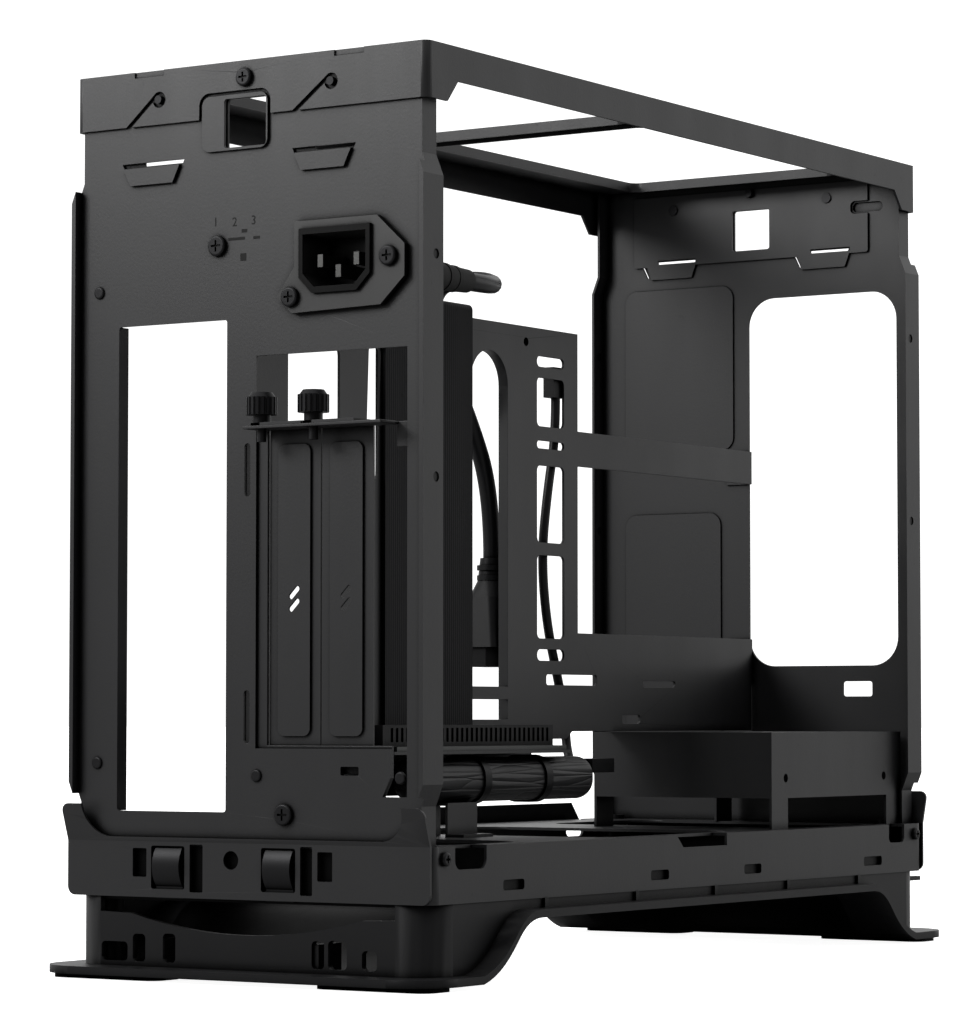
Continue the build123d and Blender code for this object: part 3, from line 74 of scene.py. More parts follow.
# Thin front lead: the route of its solid in millimetres, from the header plug down to the bundle
FRONT_LEAD_DIAMETER = 3.4 * MM
FRONT_LEAD_ROUTE = (
    (4.0, -25.5, 201.0),
    (4.0, -25.5, 187.0),
    (4.0, -20.0, 167.0),
    (4.0, -15.9, 143.0),
    (4.5, -20.0, 119.0),
    (4.5, -28.5, 97.0),
    (4.4, -32.5, 84.0),
    (3.6, -32.0, 75.0),
    (0.2, -29.5, 67.8),
    (-4.9, -24.2, 63.4),
    (-7.4, -18.6, 62.5),
    (-7.4, -14.0, 62.5),
)

# Both leads: order of the curve, and the steps along and round it
TUBE_ORDER = 3
TUBE_STEPS_ALONG = 12
TUBE_STEPS_ROUND = 5

# Painted shade on hidden inner parts of the base: half width and length of its inside and of its
# rim's, the rim's lowest level, and how dark the painted shade is
BASE_INSIDE = (58.5 * MM, 166.5 * MM)
RIM_INSIDE = (71.1 * MM, 166.9 * MM)
RIM_LEVEL = 26.6 * MM
BASE_PAINTED_SHADE = 0.9

# Painted shade on the inlet's ring: its depth behind the housing's face, and how dark the painted
# shade is
INLET_RING_DEPTH = 0.4 * MM
INLET_RING_PAINTED_SHADE = 0.95

# Index marks beside the upper lock screw, in millimetres: (x, z, width, height) of each tick,
# (label, x, z) of each plain number
PANEL_FACE_Y = 166.5 * MM
MARK_PROUD = 0.04 * MM
INDEX_TICKS = (
    (4.6, 239.3, 6.6, 0.9),
    (-3.4, 239.2, 2.6, 0.9),
    (1.5, 241.7, 2.2, 1.1),
    (1.9, 233.2, 2.4, 2.4),
)
INDEX_NUMBERS = (("1", 13.1, 245.2), ("2", 5.4, 244.7), ("3", -2.2, 244.8))
NUMBER_HEIGHT = 4.2 * MM

# Painted shade: dark plugs in the side returns' holes stand in for the shade inside them. In
# millimetres: distance along the case, heights, radius, and the places of their two faces out
# from the middle
SHADE_PLUG_ALONG = 162.5
SHADE_PLUG_HEIGHTS = (160.0, 230.0)
SHADE_PLUG_RADIUS = 1.58
SHADE_PLUG_DEPTH = (69.7, 70.1)
SHADE_PLUG_SIDES = 20

# Rounding of the sharp edges, in millimetres
EDGE_ROUNDS = {
    "top_frame": 0.22,
    "rear_panel": 0.22,
    "front_panel": 0.22,
    "base_tray": 0.22,
    "spine": 0.22,
    "slot_bracket": 0.22,
    "slot_cover_1": 0.22,
    "slot_cover_2": 0.22,
    "base_moulding": 0.35,
    "inlet_housing": 0.3,
}
EDGE_ANGLE = math.radians(32)
EDGE_SEGMENTS = 2
WELD_REACH = 0.002 * MM

# Light: the world's base level, its patches (direction, sharpness, amount), the white lifts that
# only the camera sees, and the softbox behind the case
WORLD_BASE = 0.05
WORLD_LOBES = (
    ((0.57, 0.72, 0.5), 10.0, 0.5),
    ((-0.62, -0.75, 0.25), 11.0, 0.85),
    ((-0.1, 0.1, 1.0), 7.0, 1.2),
    ((0.9, -0.1, 0.3), 12.0, 0.8),
    ((0.35, -0.95, 0.1), 9.0, 1.3),
)
WORLD_BACKDROP = 1.15
FLOOR_REACH = 30.0
FLOOR_PALE = 0.88
FLOOR_LIFT = 0.95
FLOOR_BOUNCE = 0.4
SOFTBOX_PLACE = (0.38, 0.66, 0.56)
SOFTBOX_TARGET = (0.0, 0.17, 0.27)
SOFTBOX_SIZE = (0.34, 0.3)
SOFTBOX_POWER = 3.6

# Distance between the ribbon's wires; a wave texture has ten waves in pi / scale
RIBBON_PITCH = 1.27 * MM
RIBBON_SCALE = math.pi / (10.0 * RIBBON_PITCH)

# Painted shade in gaps and inner corners, from ambient occlusion: its reach, its rays, and how
# much metallic it adds to dull the sheen there
CREASE_REACH = 4.0 * MM
CREASE_SAMPLES = 6
CREASE_DULLING = 0.85

# Lint roughens every finish a little
LINT_ROUGHNESS = 0.12


# Camera and cords

def make_camera():
    """Long lens, looking slightly up from near the floor."""
    data = bpy.data.cameras.new("studio_camera")
    data.lens = CAMERA_LENS
    data.clip_start, data.clip_end = CAMERA_CLIP
    camera = bpy.data.objects.new("studio_camera", data)
    bpy.context.scene.collection.objects.link(camera)
    level = math.cos(CAMERA_TILT)
    ahead = Vector((
        math.sin(CAMERA_TURN) * level,
        -math.cos(CAMERA_TURN) * level,
        math.sin(CAMERA_TILT),
    ))
    camera.location = CAMERA_PLACE
    camera.rotation_mode = "QUATERNION"
    camera.rotation_quaternion = ahead.to_track_quat("-Z", "Y")
    bpy.context.scene.camera = camera


def spline_tube(name, points, radius):
    """Smooth round tube with the points, in metres, as its control points."""
    data = bpy.data.curves.new(name, "CURVE")
    data.dimensions = "3D"
    data.resolution_u = TUBE_STEPS_ALONG
    data.bevel_depth = 1.0
    data.bevel_resolution = TUBE_STEPS_ROUND
    data.use_fill_caps = True
    spline = data.splines.new("NURBS")
    spline.points.add(len(points) - 1)
    for place, point in zip(spline.points, points):
        place.co = (*point, 1.0)
        place.radius = radius
    spline.order_u = TUBE_ORDER
    spline.use_endpoint_u = True
    tube = bpy.data.objects.new(name, data)
    bpy.context.scene.collection.objects.link(tube)
    return tube


def make_mains_lead():
    """The lead inside the case, over the spine and down to its plug."""
    route = [Vector(point) * MM for point in LEAD_ROUTE]
    lead = spline_tube("mains_lead_sheath", route, LEAD_DIAMETER / 2)
    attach(lead, "root")
    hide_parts("mains_lead")
    return lead


def make_front_lead():
    """Thin lead from the bundle, past the spine's sill and up to its header plug."""
    route = [Vector(point) * MM for point in FRONT_LEAD_ROUTE]
    lead = spline_tube("front_lead_sheath", route, FRONT_LEAD_DIAMETER / 2)
    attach(lead, "root")
    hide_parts("front_io_lead")
    return lead


# Node groups shared by the finishes

def new_group(name, inputs, outputs):
    """Empty shader group with named number inputs and outputs."""
    group = bpy.data.node_groups.new(name, "ShaderNodeTree")
    for label, value in inputs:
        socket = group.interface.new_socket(name=label, in_out="INPUT",
                                            socket_type="NodeSocketFloat")
        socket.default_value = value
    for label in outputs:
        group.interface.new_socket(name=label, in_out="OUTPUT", socket_type="NodeSocketFloat")
    start = group.nodes.new("NodeGroupInput")
    end = group.nodes.new("NodeGroupOutput")
    return group, start, end


def add(tree, kind, **settings):
    """Node of that kind with its settings."""
    node = tree.nodes.new(kind)
    for label, value in settings.items():
        setattr(node, label, value)
    return node


def maths(tree, operation, first, second=None, third=None):
    """Math node; each operand is a socket or a number."""
    node = add(tree, "ShaderNodeMath", operation=operation)
    for index, operand in enumerate((first, second, third)):
        if operand is None:
            continue
        if isinstance(operand, (int, float)):
            node.inputs[index].default_value = operand
        else:
            tree.links.new(operand, node.inputs[index])
    return node.outputs[0]


def held(tree, value):
    """A value kept between 0 and 1."""
    clamp = add(tree, "ShaderNodeClamp")
    tree.links.new(value, clamp.inputs["Value"])
    return clamp.outputs[0]


def object_place(tree):
    """Place on the piece, in its own coordinates."""
    return add(tree, "ShaderNodeTexCoord").outputs["Object"]


def stretched(tree, place, scale):
    """The place with each axis scaled."""
    mapping = add(tree, "ShaderNodeMapping")
    mapping.inputs["Scale"].default_value = scale
    tree.links.new(place, mapping.inputs["Vector"])
    return mapping.outputs["Vector"]


def split_place(tree):
    """X, Y and Z sockets of the place on the piece."""
    split = add(tree, "ShaderNodeSeparateXYZ")
    tree.links.new(object_place(tree), split.inputs["Vector"])
    return split.outputs


def noise(tree, place, scale, detail=3.0, roughness=0.5):
    """Noise value at a place; the scale is a socket or a number."""
    node = add(tree, "ShaderNodeTexNoise")
    node.inputs["Detail"].default_value = detail
    node.inputs["Roughness"].default_value = roughness
    if isinstance(scale, (int, float)):
        node.inputs["Scale"].default_value = scale
    else:
        tree.links.new(scale, node.inputs["Scale"])
    tree.links.new(place, node.inputs["Vector"])
    return node.outputs["Fac"]


def make_coat_texture():
    """Powder coat: orange peel, fine specks and slow unevenness."""
    slow_scale = 14.0
    speck_start, speck_rise = 0.62, 6.0
    group, start, end = new_group(
        "Coat texture",
        (("Peel Scale", 900.0), ("Speck Scale", 3500.0), ("Peel", 0.6), ("Specks", 0.4)),
        ("Height", "Unevenness", "Speck Mask"),
    )
    place = object_place(group)
    peel = noise(group, place, start.outputs["Peel Scale"], detail=2.0)
    speck = noise(group, place, start.outputs["Speck Scale"], detail=1.0)
    slow = noise(group, place, slow_scale)
    lifted = maths(group, "MULTIPLY", peel, start.outputs["Peel"])
    dotted = maths(group, "MULTIPLY", speck, start.outputs["Specks"])
    group.links.new(maths(group, "ADD", lifted, dotted), end.inputs["Height"])
    group.links.new(slow, end.inputs["Unevenness"])
    crest = maths(group, "MULTIPLY", maths(group, "SUBTRACT", speck, speck_start), speck_rise)
    group.links.new(held(group, crest), end.inputs["Speck Mask"])
    return group


def make_handling_marks():
    """Faint rubs and lint that break up the sheen of every finish."""
    rub_stretch = (1.0, 1.0, 0.22)
    lint_start, lint_rise = 0.68, 9.0
    group, start, end = new_group(
        "Handling marks",
        (("Rub Scale", 60.0), ("Lint Scale", 420.0)),
        ("Rub", "Lint"),
    )
    place = object_place(group)
    along = stretched(group, place, rub_stretch)
    rub = noise(group, along, start.outputs["Rub Scale"], detail=5.0, roughness=0.62)
    group.links.new(rub, end.inputs["Rub"])
    lint = noise(group, place, start.outputs["Lint Scale"], detail=2.0, roughness=0.7)
    crest = maths(group, "MULTIPLY", maths(group, "SUBTRACT", lint, lint_start), lint_rise)
    group.links.new(held(group, crest), end.inputs["Lint"])
    return group


def make_crease_shade():
    """Mask of the narrow gaps and inner corners, where painted shade darkens the colour."""
    group, start, end = new_group(
        "Crease shade",
        (("Openness", 1.0), ("Opens At", 0.88), ("Softness", 0.3)),
        ("Crease",),
    )
    closed = maths(group, "SUBTRACT", start.outputs["Opens At"], start.outputs["Openness"])
    scaled = maths(group, "DIVIDE", closed, start.outputs["Softness"])
    group.links.new(held(group, scaled), end.inputs["Crease"])
    return group


def make_inside_mask():
    """Mask of what lies inside an upright box round the middle, above a level."""
    group, start, end = new_group(
        "Inside mask",
        (("Half X", 0.05), ("Half Y", 0.1), ("Level", 0.0)),
        ("Inside",),
    )
    place = split_place(group)
    off_x = maths(group, "ABSOLUTE", place["X"])
    off_y = maths(group, "ABSOLUTE", place["Y"])
    near_x = maths(group, "LESS_THAN", off_x, start.outputs["Half X"])
    near_y = maths(group, "LESS_THAN", off_y, start.outputs["Half Y"])
    above = maths(group, "GREATER_THAN", place["Z"], start.outputs["Level"])
    both = maths(group, "MULTIPLY", near_x, near_y)
    group.links.new(maths(group, "MULTIPLY", both, above), end.inputs["Inside"])
    return group


def use_group(tree, group, **values):
    """Place a shared group with its own values."""
    node = tree.nodes.new("ShaderNodeGroup")
    node.node_tree = group
    for label, value in values.items():
        node.inputs[label.replace("_", " ")].default_value = value
    return node


# Parts of a finish

def between(tree, mask, low, high):
    """Number that runs from low to high with a mask."""
    return maths(tree, "MULTIPLY_ADD", mask, high - low, low)


def tint(tree, mask, low, high):
    """Colour that runs from low to high with a mask."""
    node = add(tree, "ShaderNodeMix", data_type="RGBA")
    tree.links.new(mask, node.inputs["Factor"])
    node.inputs["A"].default_value = (*low, 1.0)
    node.inputs["B"].default_value = (*high, 1.0)
    return node.outputs["Result"]


def darkened(tree, mask, colour):
    """The colour, run down to black with a mask."""
    node = add(tree, "ShaderNodeMix", data_type="RGBA")
    tree.links.new(mask, node.inputs["Factor"])
    tree.links.new(colour, node.inputs["A"])
    node.inputs["B"].default_value = (0.0, 0.0, 0.0, 1.0)
    return node.outputs["Result"]


def bumped(tree, shader, height, strength, depth, under=None):
    """Bump on the shader's normal, over an earlier bump if there is one."""
    bump = add(tree, "ShaderNodeBump")
    bump.inputs["Strength"].default_value = strength
    bump.inputs["Distance"].default_value = depth
    tree.links.new(height, bump.inputs["Height"])
    if under is not None:
        tree.links.new(under, bump.inputs["Normal"])
    tree.links.new(bump.outputs["Normal"], shader.inputs["Normal"])
    return bump.outputs["Normal"]


def new_finish(name, **constants):
    """Material with a principled shader and plain values on its sockets."""
    material = bpy.data.materials.new(name)
    material.use_nodes = True
    tree = material.node_tree
    shader = tree.nodes["Principled BSDF"]
    for label, value in constants.items():
        shader.inputs[label.replace("_", " ")].default_value = value
    return material, tree, shader


def coat_surface(tree, shader, dark, light, rough, bump, speck_rough, unlit=None, **texture):
    """Colour, roughness and bump of a coated or moulded surface.

    dark and light are the ends of its colour, rough those of its roughness, bump its strength
    and depth, and unlit masks hidden inner parts that get painted shade. Gaps and inner corners
    also get painted shade: the colour runs down to black there and, on non-metal finishes,
    metallic rises to dull the sheen.
    """
    coat = use_group(tree, coat_texture, **texture)
    marks = use_group(tree, handling_marks)
    even = tint(tree, coat.outputs["Unevenness"], dark, light)
    # Painted shade: where ambient occlusion finds gaps and inner corners, the colour runs down to
    # black
    crease = use_group(tree, crease_shade)
    nearby = add(tree, "ShaderNodeAmbientOcclusion", samples=CREASE_SAMPLES)
    nearby.inputs["Distance"].default_value = CREASE_REACH
    tree.links.new(nearby.outputs["AO"], crease.inputs["Openness"])
    deep = crease.outputs["Crease"]
    if unlit is not None:
        deep = maths(tree, "MAXIMUM", deep, unlit)
    tree.links.new(darkened(tree, deep, even), shader.inputs["Base Color"])
    # Painted shade also dulls the sheen there, by raising metallic over the black colour
    if shader.inputs["Metallic"].default_value < 0.5:
        tree.links.new(maths(tree, "MULTIPLY", deep, CREASE_DULLING), shader.inputs["Metallic"])
    wide = between(tree, marks.outputs["Rub"], *rough)
    fine = maths(tree, "MULTIPLY_ADD", coat.outputs["Speck Mask"], speck_rough, wide)
    linted = maths(tree, "MULTIPLY_ADD", marks.outputs["Lint"], LINT_ROUGHNESS, fine)
    tree.links.new(linted, shader.inputs["Roughness"])
    return bumped(tree, shader, coat.outputs["Height"], *bump)


# Finishes

def powder_coat():
    """Satin black powder coat on the folded steel."""
    material, tree, shader = new_finish("black_powder_coat", Metallic=0.0,
                                        Specular_IOR_Level=0.45)
    coat_surface(tree, shader, dark=(0.008, 0.008, 0.009), light=(0.014, 0.014, 0.015),
                 rough=(0.38, 0.5), bump=(0.25, 0.12 * MM), speck_rough=-0.08,
                 Peel_Scale=1100.0, Speck_Scale=4200.0, Peel=0.7, Specks=0.3)
    return material


def grained_black(tree, shader, unlit=None):
    """Spark-eroded grain of the black mouldings."""
    coat_surface(tree, shader, dark=(0.004, 0.004, 0.0045), light=(0.008, 0.008, 0.009),
                 rough=(0.38, 0.52), bump=(0.35, 0.1 * MM), speck_rough=-0.06, unlit=unlit,
                 Peel_Scale=2600.0, Speck_Scale=6000.0, Peel=0.5, Specks=0.5)


def moulded_black():
    """Black moulded plastic of the plugs, ties and socket."""
    material, tree, shader = new_finish("black_moulding", Metallic=0.0, Specular_IOR_Level=0.18)
    grained_black(tree, shader)
    return material


def base_black():
    """The base's moulded plastic, with painted shade inside the feet and on the rim within the
    tray.
    """
    material, tree, shader = new_finish("base_black", Metallic=0.0, Specular_IOR_Level=0.24)
    # Painted shade: inside the feet and on the rim within the tray, the colour is run down to
    # black by position
    inside = use_group(tree, inside_mask, Half_X=BASE_INSIDE[0], Half_Y=BASE_INSIDE[1], Level=0.0)
    rim = use_group(tree, inside_mask, Half_X=RIM_INSIDE[0], Half_Y=RIM_INSIDE[1],
                    Level=RIM_LEVEL)
    either = maths(tree, "MAXIMUM", inside.outputs["Inside"], rim.outputs["Inside"])
    grained_black(tree, shader, unlit=maths(tree, "MULTIPLY", either, BASE_PAINTED_SHADE))
    return material


def soft_rubber():
    """Matt rubber of the pads and the strain relief."""
    material, tree, shader = new_finish("black_rubber", Metallic=0.0, Specular_IOR_Level=0.3)
    coat_surface(tree, shader, dark=(0.012, 0.012, 0.012), light=(0.02, 0.02, 0.02),
                 rough=(0.62, 0.78), bump=(0.3, 0.1 * MM), speck_rough=0.05,
                 Peel_Scale=1800.0, Speck_Scale=5200.0, Peel=0.4, Specks=0.6)
    return material


def cable_sheath():
    """Smooth sheath of the leads, with the faint twist of the wires inside."""
    material, tree, shader = new_finish("cable_sheath", Metallic=0.0, Specular_IOR_Level=0.22)
    coat_surface(tree, shader, dark=(0.005, 0.005, 0.006), light=(0.01, 0.01, 0.011),
                 rough=(0.3, 0.44), bump=(0.2, 0.1 * MM), speck_rough=-0.04,
                 Peel_Scale=700.0, Speck_Scale=3600.0, Peel=0.8, Specks=0.2)
    return material


def ribbon_sheath():
    """Flat ribbon: the ridge of each wire runs up its face."""
    material, tree, shader = new_finish("ribbon_sheath", Metallic=0.0, Specular_IOR_Level=0.16)
    fine = coat_surface(tree, shader, dark=(0.005, 0.005, 0.006), light=(0.01, 0.01, 0.011),
                        rough=(0.6, 0.74), bump=(0.2, 0.1 * MM), speck_rough=-0.04,
                        Peel_Scale=900.0, Speck_Scale=3600.0, Peel=0.8, Specks=0.2)
    ridge = add(tree, "ShaderNodeTexWave", wave_type="BANDS", bands_direction="Y",
                wave_profile="SIN")
    ridge.inputs["Scale"].default_value = RIBBON_SCALE
    tree.links.new(object_place(tree), ridge.inputs["Vector"])
    bumped(tree, shader, ridge.outputs["Fac"], 0.25, 0.3 * MM, under=fine)
    return material


def bundle_sheath():
    """Bundled leads: uneven ridges run along the bundle."""
    lead_scale = 330.0
    lead_stretch = (1.0, 0.06, 1.0)
    material, tree, shader = new_finish("bundle_sheath", Metallic=0.0, Specular_IOR_Level=0.4)
    fine = coat_surface(tree, shader, dark=(0.006, 0.006, 0.007), light=(0.013, 0.013, 0.014),
                        rough=(0.42, 0.58), bump=(0.2, 0.1 * MM), speck_rough=-0.04,
                        Peel_Scale=700.0, Speck_Scale=3600.0, Peel=0.8, Specks=0.2)
    leads = add(tree, "ShaderNodeTexVoronoi", feature="DISTANCE_TO_EDGE")
    leads.inputs["Scale"].default_value = lead_scale
    tree.links.new(stretched(tree, object_place(tree), lead_stretch), leads.inputs["Vector"])
    widened = maths(tree, "MULTIPLY", leads.outputs["Distance"], 1.8)
    rounded = maths(tree, "POWER", widened, 0.5)
    bumped(tree, shader, rounded, 0.5, 1.2 * MM, under=fine)
    return material


def stamped_mark():
    """Faint dark marks printed beside the lock screw."""
    material, tree, shader = new_finish("stamped_mark", Metallic=0.0, Specular_IOR_Level=0.2)
    coat_surface(tree, shader, dark=(0.004, 0.004, 0.004), light=(0.008, 0.008, 0.008),
                 rough=(0.55, 0.7), bump=(0.2, 0.08 * MM), speck_rough=0.05,
                 Peel_Scale=1800.0, Speck_Scale=5200.0, Peel=0.4, Specks=0.6)
    return material


def pin_metal():
    """Plate of the inlet's contact pins, far darker than the plated finish as painted shade deep
    in the socket.
    """
    material, tree, shader = new_finish("pin_metal", Metallic=1.0)
    # Painted shade: a darkened copy of the plated colour, for the pins' shade inside the socket
    coat_surface(tree, shader, dark=(0.06, 0.06, 0.06), light=(0.1, 0.1, 0.095),
                 rough=(0.3, 0.42), bump=(0.15, 0.06 * MM), speck_rough=0.08,
                 Peel_Scale=1500.0, Speck_Scale=5000.0, Peel=0.5, Specks=0.5)
    return material


def inlet_gloss():
    """Glossier moulding of the mains inlet, with painted shade on the ring round the socket."""
    material, tree, shader = new_finish("inlet_gloss", Metallic=0.0, Specular_IOR_Level=0.5)
    # Painted shade: the housing's front ring is run down to black by position
    ring_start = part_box("inlet_housing")[1][1] - INLET_RING_DEPTH
    ring = maths(tree, "GREATER_THAN", split_place(tree)["Y"], ring_start)
    coat_surface(tree, shader, dark=(0.006, 0.006, 0.006), light=(0.01, 0.01, 0.01),
                 rough=(0.36, 0.46), bump=(0.15, 0.06 * MM), speck_rough=0.05,
                 unlit=maths(tree, "MULTIPLY", ring, INLET_RING_PAINTED_SHADE),
                 Peel_Scale=900.0, Speck_Scale=4200.0, Peel=0.8, Specks=0.2)
    return material


def blackened_steel():
    """Oil-blacked screws, pins and spring clips."""
    material, tree, shader = new_finish("blackened_steel", Metallic=0.6, Specular_IOR_Level=0.35)
    coat_surface(tree, shader, dark=(0.008, 0.008, 0.009), light=(0.018, 0.018, 0.019),
                 rough=(0.34, 0.48), bump=(0.2, 0.08 * MM), speck_rough=0.08,
                 Peel_Scale=1500.0, Speck_Scale=5000.0, Peel=0.5, Specks=0.5)
    return material


def plated_steel():
    """Bright nickel plate of the contacts and standoffs."""
    material, tree, shader = new_finish("plated_steel", Metallic=1.0)
    coat_surface(tree, shader, dark=(0.36, 0.36, 0.35), light=(0.5, 0.5, 0.48),
                 rough=(0.28, 0.42), bump=(0.15, 0.06 * MM), speck_rough=0.08,
                 Peel_Scale=1500.0, Speck_Scale=5000.0, Peel=0.5, Specks=0.5)
    return material


def board_laminate():
    """Dark solder-masked laminate under a thin gloss."""
    material, tree, shader = new_finish("board_laminate", Metallic=0.0, Coat_Weight=0.3,
                                        Coat_Roughness=0.25)
    coat_surface(tree, shader, dark=(0.008, 0.012, 0.01), light=(0.013, 0.018, 0.015),
                 rough=(0.34, 0.46), bump=(0.2, 0.08 * MM), speck_rough=0.04,
                 Peel_Scale=2000.0, Speck_Scale=5000.0, Peel=0.6, Specks=0.4)
    return material


# Dressing of the CAD pieces

FINISH_OF_SLOT = {
    "black_powder_coat": "powder",
    "black_moulding": "moulding",
    "black_rubber": "rubber",
    "blackened_steel": "blackened",
    "plated_steel": "plated",
    "board_laminate": "laminate",
    "cable_sheath": "sheath",
}

FINISH_OF_PIECE = {
    "base_moulding": "base",
    "extender_ribbon": "ribbon",
    "cable_hank": "bundle",
    "inlet_housing": "inlet",
    "inlet_pins": "pin",
}


def dress_nodes(finishes):
    """Give each CAD piece its own finish, or else the finish of its slot."""
    slot_of = {part["node"]: part["material_slot"] for part in frame["record"]["subparts"]}
    for name, piece in nodes.items():
        finish = FINISH_OF_PIECE.get(name, FINISH_OF_SLOT[slot_of[name]])
        piece.data.materials.clear()
        piece.data.materials.append(finishes[finish])


def soften_edges(name, width):
    """Round a piece's sharp edges slightly, so that they catch the light."""
    piece = nodes[name]
    weld = piece.modifiers.new("weld", "WELD")
    weld.merge_threshold = WELD_REACH
    bevel = piece.modifiers.new("edge_round", "BEVEL")
    bevel.width = width
    bevel.segments = EDGE_SEGMENTS
    bevel.limit_method = "ANGLE"
    bevel.angle_limit = EDGE_ANGLE
    bevel.harden_normals = True
    bevel.use_clamp_overlap = True


def plain_mesh(name, corners, faces, finish):
    """Mesh piece on the case with one finish."""
    mesh = bpy.data.meshes.new(name)
    mesh.from_pydata(corners, [], faces)
    mesh.materials.append(finish)
    piece = bpy.data.objects.new(name, mesh)
    bpy.context.scene.collection.objects.link(piece)
    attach(piece, "root")
    return piece


def make_index_ticks(finish):
    """Short marks on the rear panel that show where the spine is set."""
    corners = []
    faces = []
    for x, z, width, height in INDEX_TICKS:
        first = len(corners)
        for dx, dz in ((0.5, -0.5), (-0.5, -0.5), (-0.5, 0.5), (0.5, 0.5)):
            corners.append(((x + dx * width) * MM, PANEL_FACE_Y + MARK_PROUD,
                            (z + dz * height) * MM))
        faces.append((first, first + 1, first + 2, first + 3))
    plain_mesh("index_ticks", corners, faces, finish)


def make_index_numbers(finish):
    """Plain numbers over the marks."""
    for label, x, z in INDEX_NUMBERS:
        data = bpy.data.curves.new(f"index_number_{label}", "FONT")
        data.body = label
        data.size = NUMBER_HEIGHT
        data.align_x = "CENTER"
        data.align_y = "CENTER"
        drawn = bpy.data.objects.new(f"drawn_number_{label}", data)
        mesh = bpy.data.meshes.new_from_object(drawn)
        bpy.data.objects.remove(drawn)
        corners = [(x * MM - point.co.x, PANEL_FACE_Y + MARK_PROUD, z * MM + point.co.y)
                   for point in mesh.vertices]
        faces = [tuple(face.vertices) for face in mesh.polygons]
        plain_mesh(f"index_number_{label}", corners, faces, finish)


def shade_plug_corners(side, end, height):
    """Two rings of corners for one dark shade plug, the inner ring first."""
    corners = []
    for x in SHADE_PLUG_DEPTH:
        for step in range(SHADE_PLUG_SIDES):
            turn = 2.0 * math.pi * step / SHADE_PLUG_SIDES
            y = end * SHADE_PLUG_ALONG + SHADE_PLUG_RADIUS * math.cos(turn)
            z = height + SHADE_PLUG_RADIUS * math.sin(turn)
            corners.append((side * x * MM, y * MM, z * MM))
    return corners


def shade_plug_faces(first):
    """Two discs and the wall between them, from a shade plug's first corner."""
    inner = [first + step for step in range(SHADE_PLUG_SIDES)]
    outer = [corner + SHADE_PLUG_SIDES for corner in inner]
    wall = [[inner[step - 1], inner[step], outer[step], outer[step - 1]]
            for step in range(SHADE_PLUG_SIDES)]
    return [inner, outer, *wall]


def make_return_shade_plugs(finish):
    """Small dark plugs that fill the holes in the end panels' side returns, as painted shade
    inside them.
    """
    corners = []
    faces = []
    for side in (-1, 1):
        for end in (-1, 1):
            for height in SHADE_PLUG_HEIGHTS:
                faces += shade_plug_faces(len(corners))
                corners += shade_plug_corners(side, end, height)
    piece = plain_mesh("return_shade_plugs", corners, faces, finish)
    turned = bmesh.new()
    turned.from_mesh(piece.data)
    bmesh.ops.recalc_face_normals(turned, faces=turned.faces)
    turned.to_mesh(piece.data)
    turned.free()


# Surroundings

def camera_only(tree, amount):
    """Number that counts only where the camera looks straight at the surface."""
    sight = add(tree, "ShaderNodeLightPath")
    return maths(tree, "MULTIPLY", sight.outputs["Is Camera Ray"], amount)


def make_floor():
    """Pale floor, wide enough to fill every view."""
    mesh = bpy.data.meshes.new("studio_floor")
    corners = [(x * FLOOR_REACH, y * FLOOR_REACH, 0)
               for x, y in ((-1, -1), (1, -1), (1, 1), (-1, 1))]
    mesh.from_pydata(corners, [], [(0, 1, 2, 3)])
    floor = bpy.data.objects.new("studio_floor", mesh)
    bpy.context.scene.collection.objects.link(floor)
    material, tree, shader = new_finish("studio_floor", Roughness=0.8, Specular_IOR_Level=0.1,
                                        Base_Color=(FLOOR_PALE, FLOOR_PALE, FLOOR_PALE, 1.0),
                                        Emission_Color=(1.0, 1.0, 1.0, 1.0))
    tree.links.new(camera_only(tree, FLOOR_LIFT), shader.inputs["Emission Strength"])
    pale = tint(tree, camera_only(tree, 1.0), (FLOOR_BOUNCE,) * 3, (FLOOR_PALE,) * 3)
    tree.links.new(pale, shader.inputs["Base Color"])
    mesh.materials.append(material)


def lobe(tree, direction, towards, sharpness, amount):
    """Soft round patch of light in the surroundings, around one direction."""
    dot = add(tree, "ShaderNodeVectorMath", operation="DOT_PRODUCT")
    tree.links.new(direction, dot.inputs[0])
    dot.inputs[1].default_value = Vector(towards).normalized()
    half = maths(tree, "MULTIPLY_ADD", dot.outputs["Value"], 0.5, 0.5)
    return maths(tree, "MULTIPLY", maths(tree, "POWER", half, sharpness), amount)


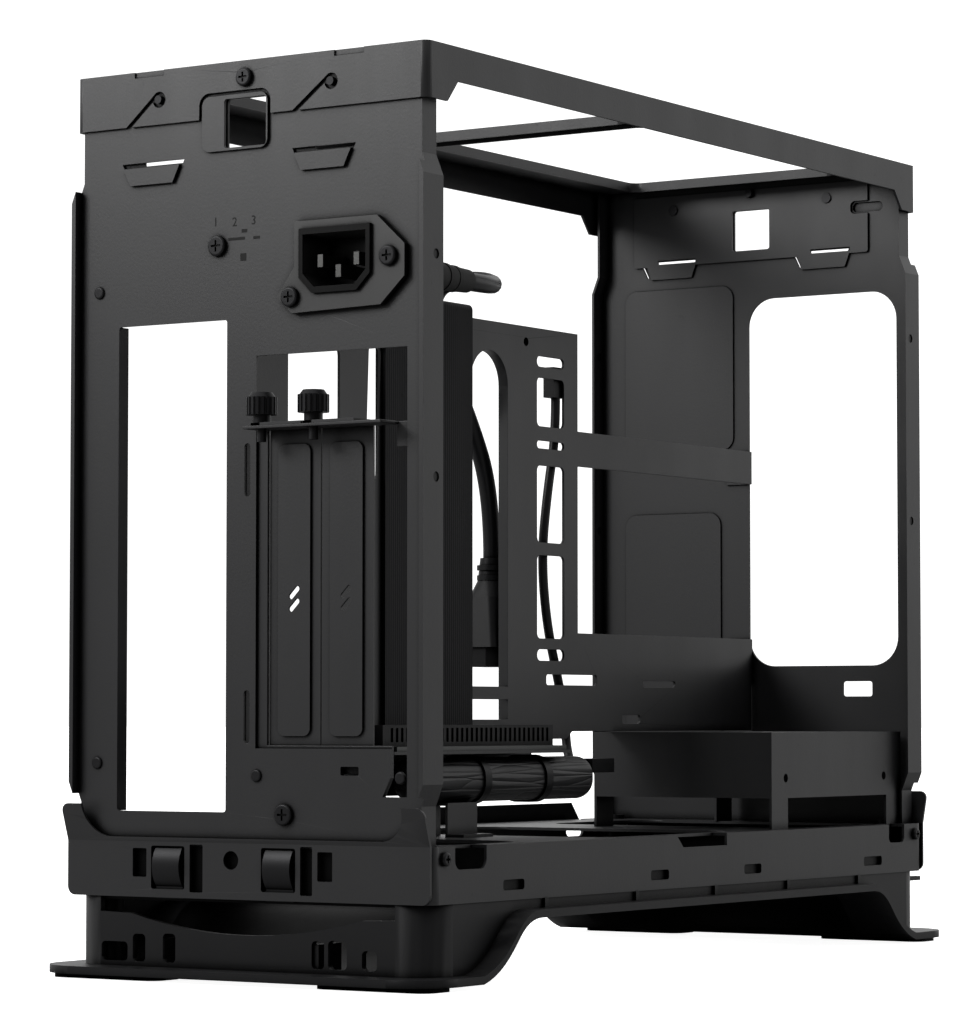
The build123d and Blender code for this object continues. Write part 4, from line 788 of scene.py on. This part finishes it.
def make_world():
    """White studio: soft patches of light, and a plain white backdrop for the camera."""
    world = bpy.data.worlds.new("studio_world")
    bpy.context.scene.world = world
    world.use_nodes = True
    tree = world.node_tree
    background = tree.nodes["Background"]
    direction = add(tree, "ShaderNodeTexCoord").outputs["Generated"]
    light = maths(tree, "ADD", lobe(tree, direction, *WORLD_LOBES[0]), WORLD_BASE)
    for patch in WORLD_LOBES[1:]:
        light = maths(tree, "ADD", light, lobe(tree, direction, *patch))
    seen = maths(tree, "MAXIMUM", light, camera_only(tree, WORLD_BACKDROP))
    background.inputs["Color"].default_value = (1.0, 1.0, 1.0, 1.0)
    tree.links.new(seen, background.inputs["Strength"])


def make_softbox():
    """Large area light above and behind the case."""
    data = bpy.data.lights.new("rear_softbox", "AREA")
    data.shape = "RECTANGLE"
    data.size, data.size_y = SOFTBOX_SIZE
    data.energy = SOFTBOX_POWER
    light = bpy.data.objects.new("rear_softbox", data)
    light.location = SOFTBOX_PLACE
    aim = Vector(SOFTBOX_TARGET) - Vector(SOFTBOX_PLACE)
    light.rotation_mode = "QUATERNION"
    light.rotation_quaternion = aim.to_track_quat("-Z", "Y")
    bpy.context.scene.collection.objects.link(light)


make_camera()
mains_lead = make_mains_lead()
front_lead = make_front_lead()
coat_texture = make_coat_texture()
handling_marks = make_handling_marks()
crease_shade = make_crease_shade()
inside_mask = make_inside_mask()
finishes = {
    "powder": powder_coat(),
    "moulding": moulded_black(),
    "base": base_black(),
    "rubber": soft_rubber(),
    "sheath": cable_sheath(),
    "ribbon": ribbon_sheath(),
    "bundle": bundle_sheath(),
    "inlet": inlet_gloss(),
    "blackened": blackened_steel(),
    "plated": plated_steel(),
    "pin": pin_metal(),
    "laminate": board_laminate(),
    "mark": stamped_mark(),
}
dress_nodes(finishes)
for lead in (mains_lead, front_lead):
    lead.data.materials.append(finishes["sheath"])
for name, width in EDGE_ROUNDS.items():
    soften_edges(name, width * MM)
make_index_ticks(finishes["mark"])
make_index_numbers(finishes["mark"])
# Painted shade: dark plugs in the side returns' holes
make_return_shade_plugs(finishes["blackened"])
make_floor()
make_world()
make_softbox()
bpy.context.scene.view_settings.view_transform = "Standard"
